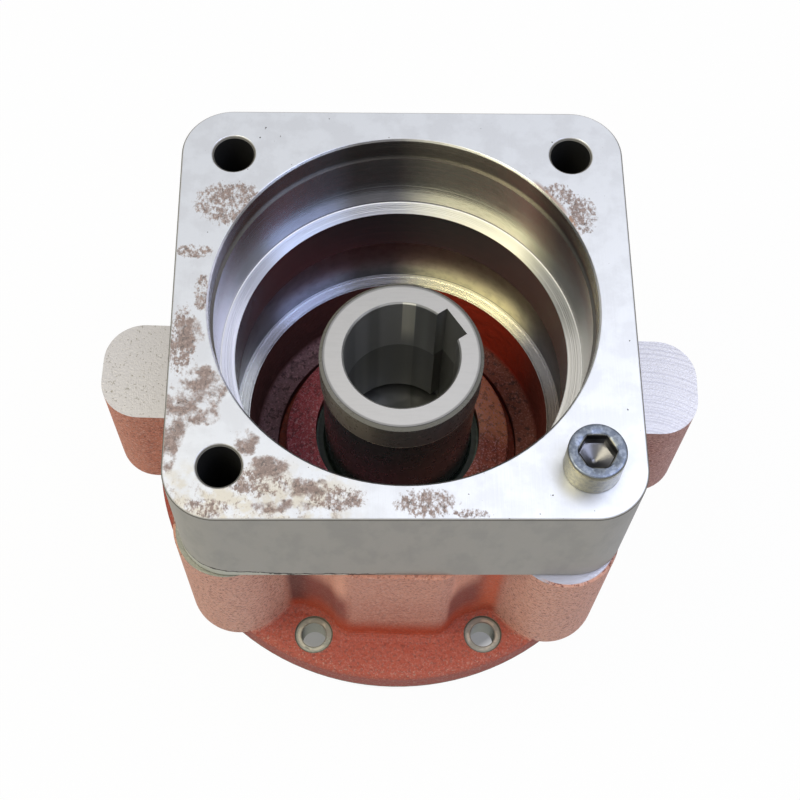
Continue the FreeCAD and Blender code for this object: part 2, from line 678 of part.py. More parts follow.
def bearing_cone():
    """Inner ring: a conical raceway between a low front rib and a high back rib."""
    start, end = roller_span()
    bore = CONE_SEAT_RADIUS + RING_SEAT_GAP
    front_level = roller_point(start - RIB_GAP, -roller_radius(start))[1]
    back_level = roller_point(end + RIB_GAP, -roller_radius(end))[1]
    front_track = raceway(CONE_TAN, -front_level)
    back_track = raceway(CONE_TAN, -back_level)
    lean = math.tan(ROLLER_ANGLE)
    return turned([
        (bore, -RING_CHAMFER),
        (bore + RING_CHAMFER, 0),
        (front_track + CONE_FRONT_RIB, 0),
        (front_track + CONE_FRONT_RIB, front_level + CONE_FRONT_RIB * lean),
        (front_track, front_level),
        (back_track, back_level),
        (back_track + CONE_BACK_RIB, back_level + CONE_BACK_RIB * lean),
        (back_track + CONE_BACK_RIB, -BEARING_WIDTH),
        (bore + RING_CHAMFER, -BEARING_WIDTH),
        (bore, RING_CHAMFER - BEARING_WIDTH),
    ])


def bearing_cage():
    start, end = roller_span()
    outer = ROLLER_SIZE - CAGE_GAP
    inner = outer - CAGE_THICKNESS
    shell = turned([
        roller_point(start - CAGE_END, inner),
        roller_point(start - CAGE_END, outer),
        roller_point(end + CAGE_END, outer),
        roller_point(end + CAGE_END, inner),
    ])
    for window in ring_of(roller_shape(CAGE_WINDOW_GAP, CAGE_WINDOW_GAP)):
        shell = shell.cut(window)
    return shell


def seated(shape, cup_seat, inverted):
    """A bearing piece with its cup's back face at a height, facing up, or down when inverted."""
    placed = shape.copy()
    if inverted:
        placed.rotate(Vector(0, 0, 0), Vector(1, 0, 0), 180)
    placed.translate(Vector(0, 0, cup_seat))
    return placed


def bearing_pieces(name, cup_seat, inverted):
    rollers = Part.makeCompound(ring_of(roller_shape()))
    parts = {"cup": bearing_cup(), "cone": bearing_cone(), "cage": bearing_cage(), "rollers": rollers}
    return {name + "_bearing_" + kind: seated(shape, cup_seat, inverted) for kind, shape in parts.items()}


def seal_pieces(name, face_level, inverted):
    """Steel case, rubber lips and garter spring of a shaft seal, its closed face up, or down when inverted."""
    outer = SEAL_RADIUS - SEAL_SEAT_GAP
    wall = SEAL_CASE_WALL
    window = JOURNAL_RADIUS + SEAL_WINDOW
    contact = JOURNAL_RADIUS + SEAL_LIP_GAP
    case = turned([
        (window, 0),
        (outer, 0),
        (outer, -SEAL_WIDTH),
        (outer - wall, -SEAL_WIDTH),
        (outer - wall, -wall),
        (window, -wall),
    ])
    sleeve = contact + SEAL_NECK
    spring_seat = contact + SEAL_SPRING_SEAT
    grip = window + SEAL_RUBBER_GRIP
    lip = turned([
        (contact + SEAL_DUST_LIP, 0),
        (window, 0),
        (window, -wall),
        (grip, -wall),
        (grip, -2 * wall),
        (spring_seat, -SEAL_CONE_LEVEL),
        (spring_seat, SEAL_LIP_END - SEAL_WIDTH),
        (sleeve, SEAL_LIP_END - SEAL_WIDTH),
        (contact, SEAL_LIP_EDGE - SEAL_WIDTH),
        (sleeve, SEAL_LIP_HEEL - SEAL_WIDTH),
        (sleeve, -2 * wall),
        (contact, -SEAL_DUST_LEVEL),
    ])
    wire = SEAL_SPRING_WIRE / 2
    spring = Part.makeTorus(spring_seat + wire, wire, Vector(0, 0, SEAL_SPRING_LEVEL - SEAL_WIDTH))
    parts = {"case": case, "lip": lip, "spring": spring}
    return {name + "_seal_" + kind: seated(shape, face_level, inverted) for kind, shape in parts.items()}


def end_cover():
    """Cover that holds the lower cup, with a spigot, a seal seat and counterbored screw holes."""
    spigot = CUP_RADIUS - COVER_SPIGOT_GAP
    recess = CUP_RADIUS - COVER_CUP_LAND
    clear = SEAL_RADIUS - COVER_SEAL_SHOULDER
    seal_shoulder = OUTPUT_SEAL_FACE + SEAL_WIDTH
    cover = turned([
        (clear, LOWER_CUP_SEAT - COVER_RECESS_DEPTH),
        (recess, LOWER_CUP_SEAT - COVER_RECESS_DEPTH),
        (recess, LOWER_CUP_SEAT),
        (spigot, LOWER_CUP_SEAT),
        (spigot, COVER_TOP),
        (NOSE_RADIUS, COVER_TOP),
        (NOSE_RADIUS, COVER_FOOT + COVER_EDGE_CHAMFER),
        (NOSE_RADIUS - COVER_EDGE_CHAMFER, COVER_FOOT),
        (SEAL_RADIUS, COVER_FOOT),
        (SEAL_RADIUS, seal_shoulder),
        (clear, seal_shoulder),
    ])
    groove_low, groove_high, groove_floor = cover_groove()
    cover = cover.cut(tube(spigot + OVERRUN, groove_floor, groove_low, groove_high))
    shank_hole = COVER_SCREW_DIAMETER / 2 + COVER_SCREW_CLEARANCE
    head_hole = COVER_SCREW_HEAD_DIAMETER / 2 + COVER_SCREW_CLEARANCE
    for x, y in cover_screws():
        cover = cover.cut(cylinder(shank_hole, COVER_FOOT - OVERRUN, COVER_TOP + OVERRUN, x, y))
        cover = cover.cut(cylinder(head_hole, COVER_FOOT - OVERRUN, COVER_SCREW_SEAT, x, y))
    return cover


def cover_groove():
    """Low level, high level and floor radius of the O-ring groove in the cover's spigot."""
    high = LOWER_CUP_SEAT - (COVER_SPIGOT_LENGTH - GROOVE_WIDTH) / 2
    floor = CUP_RADIUS - O_RING_WIRE - O_RING_GAP
    return high - GROOVE_WIDTH, high, floor


def end_cover_o_ring():
    low, high, floor = cover_groove()
    wire = O_RING_WIRE / 2
    return Part.makeTorus(floor + O_RING_GAP / 2 + wire, wire, Vector(0, 0, (low + high) / 2))


def end_cover_shims():
    shims = tube(NOSE_RADIUS, CUP_RADIUS + SPIGOT_GAP, COVER_TOP, NOSE_FOOT)
    shank_hole = COVER_SCREW_DIAMETER / 2 + COVER_SCREW_CLEARANCE
    for x, y in cover_screws():
        shims = shims.cut(cylinder(shank_hole, COVER_TOP - OVERRUN, NOSE_FOOT + OVERRUN, x, y))
    return shims


def end_cover_screws():
    head_foot = COVER_SCREW_SEAT - COVER_SCREW_HEAD_HEIGHT
    screw = cylinder(COVER_SCREW_DIAMETER / 2, COVER_SCREW_SEAT - OVERRUN, COVER_SCREW_SEAT + COVER_SCREW_LENGTH)
    screw = screw.fuse(cylinder(COVER_SCREW_HEAD_DIAMETER / 2, head_foot, COVER_SCREW_SEAT)).removeSplitter()
    socket_floor = head_foot + COVER_SCREW_SOCKET_DEPTH
    screw = screw.cut(hexagon(COVER_SCREW_SOCKET, head_foot - OVERRUN, socket_floor, 0, 0))
    screws = []
    for x, y in cover_screws():
        copy = screw.copy()
        copy.translate(Vector(x, y, 0))
        screws.append(copy)
    return Part.makeCompound(screws)


def save(name, shape):
    solids = shape.Solids
    kept = solids[0] if len(solids) == 1 else Part.makeCompound(solids)
    kept.exportStep(os.path.join("parts", name + ".step"))


def main():
    os.makedirs("parts", exist_ok=True)
    pieces = {
        "motor_flange": motor_flange(),
        "motor_screw": motor_screw(),
        "flange_o_ring": flange_o_ring(),
        "housing": housing(),
        "drive_shaft": drive_shaft(),
        "end_cover": end_cover(),
        "end_cover_o_ring": end_cover_o_ring(),
        "end_cover_shims": end_cover_shims(),
        "end_cover_screws": end_cover_screws(),
    }
    pieces.update(seal_pieces("input", INPUT_SEAL_TOP, False))
    pieces.update(seal_pieces("output", OUTPUT_SEAL_FACE, True))
    pieces.update(bearing_pieces("upper", UPPER_CUP_SEAT, False))
    pieces.update(bearing_pieces("lower", LOWER_CUP_SEAT, True))
    for name, shape in pieces.items():
        print(name, len(shape.Solids), shape.isValid(), round(shape.Volume))
        save(name, shape)


main()
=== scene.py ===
"""Looks of a bearing housing for an orbital hydraulic motor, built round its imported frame."""

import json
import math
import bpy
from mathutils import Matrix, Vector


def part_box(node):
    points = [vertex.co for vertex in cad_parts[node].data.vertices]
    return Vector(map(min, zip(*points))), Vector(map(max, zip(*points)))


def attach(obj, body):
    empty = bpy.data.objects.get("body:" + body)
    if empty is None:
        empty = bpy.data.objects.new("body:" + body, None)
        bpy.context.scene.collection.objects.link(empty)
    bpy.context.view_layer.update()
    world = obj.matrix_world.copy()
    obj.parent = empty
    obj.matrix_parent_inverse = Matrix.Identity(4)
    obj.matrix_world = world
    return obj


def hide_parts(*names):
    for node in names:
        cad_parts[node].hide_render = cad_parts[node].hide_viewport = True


bl_info = {
    "name": "Motor drive housing",
    "version": (1, 0, 0),
    "blender": (4, 5, 0),
    "location": "3D View > Sidebar > Housing",
    "description": "Dresses a cast bearing housing, its motor flange, hollow shaft, seals and bearings",
    "category": "Object",
}

import bmesh
import bpy
from bpy.props import FloatProperty, FloatVectorProperty, PointerProperty
from mathutils import Euler, Vector

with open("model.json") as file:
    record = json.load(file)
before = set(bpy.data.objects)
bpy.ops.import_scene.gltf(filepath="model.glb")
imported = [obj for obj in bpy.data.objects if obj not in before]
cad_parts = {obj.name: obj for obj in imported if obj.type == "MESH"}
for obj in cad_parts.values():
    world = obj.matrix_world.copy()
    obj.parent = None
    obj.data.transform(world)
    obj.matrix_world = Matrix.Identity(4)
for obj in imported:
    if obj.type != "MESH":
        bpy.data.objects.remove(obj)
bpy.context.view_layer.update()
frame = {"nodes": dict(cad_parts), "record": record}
MM = 0.001


def mount_sizes(name):
    """Sizes of one of the frame's mounts, in millimetres."""
    return next(item["dims"] for item in frame["record"]["mounts"] if item["name"] == name)


# Levels and radii that the frame gives, in millimetres
BLOCK_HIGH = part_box("motor_flange")[1] / MM
BLOCK_TOP = BLOCK_HIGH.z
BLOCK_HALF = BLOCK_HIGH.x
HOUSING_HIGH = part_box("housing")[1] / MM
BODY_TOP = HOUSING_HIGH.z
FLANGE_RADIUS = HOUSING_HIGH.y
SHAFT_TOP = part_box("drive_shaft")[1].z / MM
SCREW_LOW, SCREW_HIGH = (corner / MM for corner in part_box("motor_screw"))
SCREW_MIDDLE = (SCREW_LOW + SCREW_HIGH) / 2
FLOOR_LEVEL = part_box("end_cover")[0].z / MM
REGISTER_RADIUS = mount_sizes("motor_register")["r_mm"]
PILOT_RADIUS = mount_sizes("pilot_spigot")["r_mm"]
FLANGE_BOLTS = mount_sizes("flange_bolts")
SCREW_SPACING = mount_sizes("motor_bolts_left")["spacing_y_mm"] / 2

# Levels and sizes that the frame doesn't give, in millimetres
REGISTER_LENGTH = 10.0
LEDGE = 92.0
BLOCK_ROUND = 17.0
MOTOR_HOLE_RADIUS = 7.0
FLANGE_TOP = 12.5
SPOT_FACE_RADIUS = 7.0
BOSS_RADIUS = 18.0
PAD_REACH = 73.5
PAD_HALF_WIDTH = 20.0
CHAMBER_RADIUS = 60.2
CHAMBER_FLOOR = 43.3
CAST_BORE_RADIUS = 54.4
CAST_FLOOR = 17.0
TRENCH_INNER_RADIUS = 43.2
TRENCH_OUTER_RADIUS = 46.4
SEAL_BORE_RADIUS = 41.0
HUB_EDGE_LEVEL = 24.0
SHAFT_BAND_LENGTH = 14.6
SHAFT_BAND_RADIUS = 25.8
SHAFT_BORE_RADIUS = 24.1
SHAFT_BORE_FOOT = 61.3
CAST_TURN_DEG = -1.9
CAST_SHIFT = -1.8

# Colours in linear light. Each sheen is painted reflection and has four that lie over a dark one: warm, cool,
# on the left, on the right
MILLED_CLOUD = (0.66, 0.68, 0.73)
MILLED_GRAIN = (0.80, 0.80, 0.82)
YELLOWED = (0.90, 0.83, 0.70)
PIT = (0.06, 0.05, 0.05)
# Painted shade inside the motor holes
HOLE_SHADE = (0.012, 0.012, 0.012)
STAIN_PALE = (0.35, 0.265, 0.235)
STAIN_RIM = (0.34, 0.19, 0.12)
STAIN_DARK = (0.11, 0.085, 0.075)
SIDE_MOTTLE = (0.33, 0.325, 0.305)
SAWN_FOOT = (0.50, 0.51, 0.45)
SAWN_LINE = (0.035, 0.03, 0.028)
# Painted shade on the chamfer of the block's top edge
EDGE_CHAMFER_SHADE = (0.07, 0.065, 0.055)
BORE_SHEEN = ((0.84, 0.81, 0.65), (0.40, 0.43, 0.52), (0.80, 0.81, 0.97), (0.50, 0.50, 0.48))
BORE_SHADE = (0.62, 0.62, 0.60)
BORE_STREAK = (0.80, 0.80, 0.80)
# Painted shade on the register wall
REGISTER_SHADE = (0.60, 0.58, 0.55)
REGISTER_LINE = (0.15, 0.14, 0.13)
LEDGE_DARK = (0.54, 0.55, 0.60)
LEDGE_SHEEN = ((0.80, 0.80, 0.74), (0.70, 0.75, 0.87), (0.93, 0.94, 1.0), (0.95, 0.94, 0.94))
LEDGE_SHADE = (0.85, 0.85, 0.80)
# Painted highlight on the ledge's rim
LEDGE_RIM_HIGHLIGHT = (0.95, 0.95, 0.95)
# Painted shade in the ledge's corner
LEDGE_CORNER_SHADE = (0.20, 0.20, 0.25)
# Painted shade below the ledge, darker on the left
BELOW_LEDGE_SHADE_LEFT = (0.12, 0.115, 0.13)
BELOW_LEDGE_SHADE_RIGHT = (0.23, 0.24, 0.22)
# Painted shade in the valleys under the block
VALLEY_SHADE = (0.26, 0.045, 0.026)
VALLEY_TOP = (0.85, 0.40, 0.28)
# Painted shade and painted light beside the bosses' feet
SHADE_BESIDE_LEFT_BOSS = (0.15, 0.035, 0.026)
LIGHT_BESIDE_RIGHT_BOSS = (0.66, 0.13, 0.05)
FLANGE_PAINT = (0.43, 0.088, 0.052)
FLANGE_SIDE_TINT = (0.72, 0.45, 0.36)
# Painted light: cool on the right ear, warm on the left ear
RIGHT_EAR_COOL_LIGHT = (0.66, 0.68, 0.80)
LEFT_EAR_WARM_LIGHT = (0.86, 0.60, 0.50)
DARK_GRAIN = (0.20, 0.06, 0.045)
PALE_GRAIN = (0.80, 0.50, 0.42)
FLANGE_FLECK = (0.60, 0.42, 0.33)
# Painted shade on the inner wall's left, painted light on its right
INNER_WALL_SHADE_LEFT = (0.10, 0.04, 0.036)
INNER_WALL_LIT_RIGHT = (0.20, 0.04, 0.03)
# Painted light on the floor ring, by side
INNER_FLOOR_LIT_LEFT = (0.24, 0.13, 0.15)
INNER_FLOOR_LIT_RIGHT = (0.27, 0.085, 0.06)
# Painted light on the hub, by side, and a painted pool of light
HUB_LIT_LEFT = (0.62, 0.12, 0.15)
HUB_LIT_RIGHT = (0.46, 0.12, 0.09)
HUB_GLOW = (1.0, 0.40, 0.24)
INNER_LUMP = (0.06, 0.025, 0.025)
INNER_SPECK = (0.90, 0.48, 0.52)
# Painted shade in the trench round the hub
TRENCH_SHADE = (0.05, 0.012, 0.008)
CHAMBER_DARK = (0.18, 0.175, 0.18)
CHAMBER_SHEEN = ((0.96, 0.92, 0.74), (0.46, 0.47, 0.54), (0.42, 0.42, 0.45), (0.22, 0.21, 0.20))
# Painted shade on the upper chamber wall
CHAMBER_UPPER_SHADE = (0.13, 0.12, 0.115)
SHELF_DARK = (0.34, 0.34, 0.39)
SHELF_SHEEN = ((0.84, 0.81, 0.62), (0.50, 0.54, 0.68), (0.94, 0.97, 1.0), (0.30, 0.25, 0.22))
# Painted shade in the corner above the chamber's ledge
SHELF_CORNER_SHADE = (0.15, 0.15, 0.17)
WEAR = (0.8, 0.8, 0.8)
CUT_TOP = (0.66, 0.66, 0.72)
# Painted shade, warm, on the left ear's top
CUT_TOP_LEFT_SHADE = (0.90, 0.87, 0.80)
CUT_TOP_PIT = (0.30, 0.28, 0.24)
CUT_TOP_ARC = (0.80, 0.80, 0.84)
CUT_TOP_FRONT = (0.85, 0.85, 0.86)
# Painted shade on the left crescent of the cut top
CUT_TOP_CRESCENT_SHADE = (0.27, 0.275, 0.25)
SPOT_FACE = (0.37, 0.41, 0.36)
# Painted shade at the spot-faces' outer edge
SPOT_FACE_EDGE_SHADE = (0.35, 0.34, 0.30)
SPOT_FACE_GLINT = (0.75, 0.75, 0.62)
# Painted shade on the walls of the flange's holes
BOLT_HOLE_SHADE = (0.25, 0.26, 0.22)
SHAFT_DARK = (0.030, 0.050, 0.048)
SHAFT_FACE = (0.48, 0.475, 0.475)
SHAFT_BRUSHED = (0.97, 0.97, 0.97)
SHAFT_FACE_RIM = (0.55, 0.55, 0.55)
SHAFT_BAND = (0.16, 0.155, 0.14)
# Painted reflection on the band's left side
SHAFT_BAND_SHINE_LEFT = (0.42, 0.39, 0.32)
SHAFT_EDGE = (0.27, 0.265, 0.235)
# Painted highlight on the step under the band
SHAFT_LIP_HIGHLIGHT = (1.0, 0.92, 0.72)
# Painted light and shade in the shaft's bore, and a painted glint
SHAFT_BORE_LIT_LEFT = (0.48, 0.48, 0.47)
SHAFT_BORE_SHADE_RIGHT = (0.34, 0.345, 0.34)
SHAFT_BORE_GLINT = (1.0, 0.98, 0.86)
SHAFT_BAND_BAR = (0.8, 0.8, 0.8)
SHAFT_BORE_BAR = (0.7, 0.7, 0.7)
SHAFT_RELIEF = (0.55, 0.55, 0.54)
SCREW_SIDE = (0.24, 0.225, 0.155)
SCREW_SIDE_WORN = (0.165, 0.155, 0.12)
SCREW_TOP = (0.15, 0.175, 0.225)
SCREW_TOP_WORN = (0.24, 0.27, 0.325)
SCREW_SOCKET = (0.16, 0.16, 0.17)
# Dark specks on the head's top, and painted shade in the head's groove
SCREW_SPECK_AND_GROOVE_SHADE = (0.02, 0.02, 0.02)
# Painted shade deep in the socket
SOCKET_DEEP_SHADE = (0.015, 0.015, 0.015)


class Term:
    """A socket of a node tree. Arithmetic on it adds Math nodes."""

    def __init__(self, tree, socket):
        self.tree = tree
        self.socket = socket

    def calculate(self, operation, *values):
        return self.tree.node("ShaderNodeMath", {"operation": operation}, dict(enumerate(values)))

    def __add__(self, other):
        return self.calculate("ADD", self, other)

    def __radd__(self, other):
        return self.calculate("ADD", other, self)

    def __sub__(self, other):
        return self.calculate("SUBTRACT", self, other)

    def __rsub__(self, other):
        return self.calculate("SUBTRACT", other, self)

    def __mul__(self, other):
        return self.calculate("MULTIPLY", self, other)

    def __truediv__(self, other):
        return self.calculate("DIVIDE", self, other)

    def __pow__(self, other):
        return self.calculate("POWER", self, other)

    def __abs__(self):
        return self.calculate("ABSOLUTE", self)

    def most(self, other):
        return self.calculate("MAXIMUM", self, other)

    def least(self, other):
        return self.calculate("MINIMUM", self, other)

    def rise(self, low, high):
        """0 below low, 1 above high, and smooth between; falls instead where low is the larger."""
        inputs = {"Value": self, "From Min": low, "From Max": high}
        return self.tree.node("ShaderNodeMapRange", {"interpolation_type": "SMOOTHSTEP"}, inputs)

    def above(self, level, soft=0.1):
        """1 above a level and 0 below it, with a soft step on both sides of it."""
        return self.rise(level - soft, level + soft)

    def below(self, level, soft=0.1):
        return self.rise(level + soft, level - soft)

    def inside(self, low, high, soft):
        return self.above(low, soft) * self.below(high, soft)


class Tree:
    """The node tree of a material or a world, whose sockets take numbers, colours and terms."""

    def __init__(self, holder):
        holder.use_nodes = True
        self.nodes = holder.node_tree.nodes
        self.links = holder.node_tree.links
        self.nodes.clear()

    def node(self, kind, settings=None, inputs=None, output=0):
        """Adds a node: its settings first, then its sockets' values or links; gives one output."""
        added = self.nodes.new(kind)
        for key, value in (settings or {}).items():
            setattr(added, key, value)
        for key, value in (inputs or {}).items():
            self.feed(added.inputs[key], value)
        return Term(self, added.outputs[output]) if added.outputs else None

    def feed(self, socket, value):
        if isinstance(value, Term):
            self.links.new(value.socket, socket)
        elif socket.type == "RGBA":
            socket.default_value = (*value, 1.0)
        else:
            socket.default_value = value

    def blend(self, first, second, factor):
        """Mix of two shaders."""
        return self.node("ShaderNodeMixShader", None, {0: factor, 1: first, 2: second})

    def ray(self, kind):
        """1 where a ray of this kind meets the surface."""
        return self.node("ShaderNodeLightPath", output="Is " + kind + " Ray")


class Finish(Tree):
    """A material in the millimetres of the object's own frame."""

    def __init__(self, name):
        self.material = bpy.data.materials.new(name)
        super().__init__(self.material)
        self.shader = self.nodes.new("ShaderNodeBsdfPrincipled")
        output = self.nodes.new("ShaderNodeOutputMaterial")
        self.links.new(self.shader.outputs[0], output.inputs["Surface"])
        place = self.node("ShaderNodeTexCoord", output="Object")
        self.place = self.node("ShaderNodeVectorMath", {"operation": "SCALE"}, {0: place, "Scale": 1 / MM})
        self.x, self.y, self.z = (self.part(self.place, axis) for axis in "XYZ")
        self.r = (self.x * self.x + self.y * self.y) ** 0.5

    def part(self, vector, axis):
        return self.node("ShaderNodeSeparateXYZ", inputs={0: vector}, output=axis)

    def vector(self, x, y, z):
        return self.node("ShaderNodeCombineXYZ", inputs={0: x, 1: y, 2: z})

    def up(self):
        """Upward part of the surface's own direction."""
        return self.part(self.node("ShaderNodeTexCoord", output="Normal"), "Z")

    def noise(self, grain, detail=3.0, roughness=0.55, at=None, offset=0.0):
        """Noise round 0.5 whose features are about a grain wide, in millimetres."""
        place = self.place if at is None else at
        if offset:
            place = self.node("ShaderNodeVectorMath", {"operation": "ADD"}, {0: place, 1: (offset,) * 3})
        inputs = {"Vector": place, "Scale": 1 / grain, "Detail": detail, "Roughness": roughness}
        return self.node("ShaderNodeTexNoise", None, inputs, "Fac")

    def streaks(self, x, y, z, offset=0.0, detail=3.0, roughness=0.6):
        """Noise whose features have a size of their own along each axis, in millimetres."""
        path = self.vector(self.x / x + offset, self.y / y + offset, self.z / z)
        return self.noise(1.0, detail, roughness, at=path)

    def grooves(self, across, along):
        """Noise in rings, as a turning tool leaves it: features to a millimetre of radius and of height."""
        return self.noise(1.0, 2.0, at=self.vector(self.r * across, 0.0, self.z * along))

    def bold(self, noise):
        """The same noise with four times the contrast, from about 0 to 1."""
        return (noise - 0.5) * 4.0 + 0.5

    def mix(self, first, second, factor):
        inputs = {0: factor, 6: first, 7: second}
        return self.node("ShaderNodeMix", {"data_type": "RGBA", "clamp_factor": True}, inputs, 2)

    def tint(self, colour, by, factor=1.0):
        """Colour times another, in part or in whole."""
        settings = {"data_type": "RGBA", "blend_type": "MULTIPLY", "clamp_factor": True}
        return self.node("ShaderNodeMix", settings, {0: factor, 6: colour, 7: by}, 2)

    def square(self, x, y):
        """Square of the distance from an upright line."""
        dx = self.x - x
        dy = self.y - y
        return dx * dx + dy * dy

    def distance(self, x, y):
        return self.square(x, y) ** 0.5

    def blot(self, x, y, width, length):
        """1 in the middle of an upright oval column, half at its edge, and 0 farther out."""
        dx = (self.x - x) / width
        dy = (self.y - y) / length
        return (dx * dx + dy * dy).rise(1.6, 0.4)

    def toward(self, turn_deg, low, high):
        """1 near one direction from the axis: the cosine of the angle from it goes from low to high."""
        turn = math.radians(turn_deg)
        return ((self.x * math.cos(turn) + self.y * math.sin(turn)) / self.r).rise(low, high)

    def sheen(self, dark, warm, cool, left, right):
        """Painted reflection: turned metal shines in bands that fan out from the axis, painted as five
        colours by direction.
        """
        colour = self.mix(dark, warm, self.toward(61.0, 0.84, 0.985))
        colour = self.mix(colour, cool, self.toward(124.0, 0.94, 0.995))
        colour = self.mix(colour, left, self.toward(187.0, 0.80, 0.98))
        return self.mix(colour, right, self.toward(-16.0, 0.82, 0.985))

    def near_corners(self, turn_deg=0.0, shift=0.0):
        """Distance to the nearest axis of the four motor screws, on a square turned and shifted along y."""
        turn = math.radians(turn_deg)
        y = self.y - shift
        dx = abs(self.x * math.cos(turn) + y * math.sin(turn)) - SCREW_SPACING
        dy = abs(y * math.cos(turn) - self.x * math.sin(turn)) - SCREW_SPACING
        return (dx * dx + dy * dy) ** 0.5

    def bump(self, height, distance, normal=None):
        """Normal bent by a height in millimetres times the distance."""
        inputs = {"Height": height, "Distance": distance * MM}
        if normal is not None:
            inputs["Normal"] = normal
        return self.node("ShaderNodeBump", None, inputs)

    def close(self, **sockets):
        for name, value in sockets.items():
            self.feed(self.shader.inputs[name.replace("_", " ")], value)
        return self.material


def smooth(thing, angle_deg=30.0):
    """Round faces shade smoothly, and sharp edges stay sharp."""
    thing.data.shade_smooth()
    thing.data.set_sharp_from_angle(angle=math.radians(angle_deg))


def dress(node, material):
    """Gives a frame node its material and smooth shading."""
    thing = frame["nodes"][node]
    thing.data.materials.clear()
    thing.data.materials.append(material)
    smooth(thing)


class BlockSettings(bpy.types.PropertyGroup):
    bare: FloatVectorProperty(
        name="Bare metal", description="Colour of the milled face", subtype="COLOR",
        default=(0.72, 0.745, 0.80))
    side: FloatVectorProperty(
        name="Side", description="Colour of the block's sides", subtype="COLOR",
        default=(0.37, 0.36, 0.335))
    bore: FloatVectorProperty(
        name="Bore", description="Colour of the turned bores", subtype="COLOR",
        default=(0.22, 0.215, 0.22))
    stain: FloatVectorProperty(
        name="Stain", description="Colour of the rust stains", subtype="COLOR",
        default=(0.215, 0.155, 0.135))


class CastingSettings(bpy.types.PropertyGroup):
    paint: FloatVectorProperty(
        name="Paint", description="Colour of the primer in the valleys", subtype="COLOR",
        default=(0.52, 0.075, 0.025))
    faded: FloatVectorProperty(
        name="Faded paint", description="Colour of the primer where it is worn", subtype="COLOR",
        default=(0.68, 0.35, 0.26))
    inner: FloatVectorProperty(
        name="Inner paint", description="Colour of the primer inside", subtype="COLOR",
        default=(0.62, 0.06, 0.025))


class ScrewSettings(bpy.types.PropertyGroup):
    head_radius: FloatProperty(
        name="Head radius", description="Radius of the head, in millimetres", default=9.0, min=1.0)
    edge: FloatProperty(
        name="Edge", description="Rounding of the head's upper edge, in millimetres", default=0.9, min=0.1)
    socket: FloatProperty(
        name="Socket", description="Width across the flats, in millimetres", default=10.0, min=1.0)
    socket_depth: FloatProperty(
        name="Socket depth", description="Depth of the flats, in millimetres", default=6.0, min=0.5)


class StageSettings(bpy.types.PropertyGroup):
    lens: FloatProperty(
        name="Lens", description="Focal length", subtype="DISTANCE_CAMERA", default=65.57)
    key: FloatProperty(
        name="Key light", description="Power of the light overhead, in watts", default=1.3)
    warm: FloatProperty(
        name="Warm light", description="Power of the light on the left, in watts", default=6.0)
    cool: FloatProperty(
        name="Cool light", description="Power of the light on the right, in watts", default=4.0)
    sky: FloatProperty(
        name="Sky", description="Strength of the soft light all round", default=0.5)


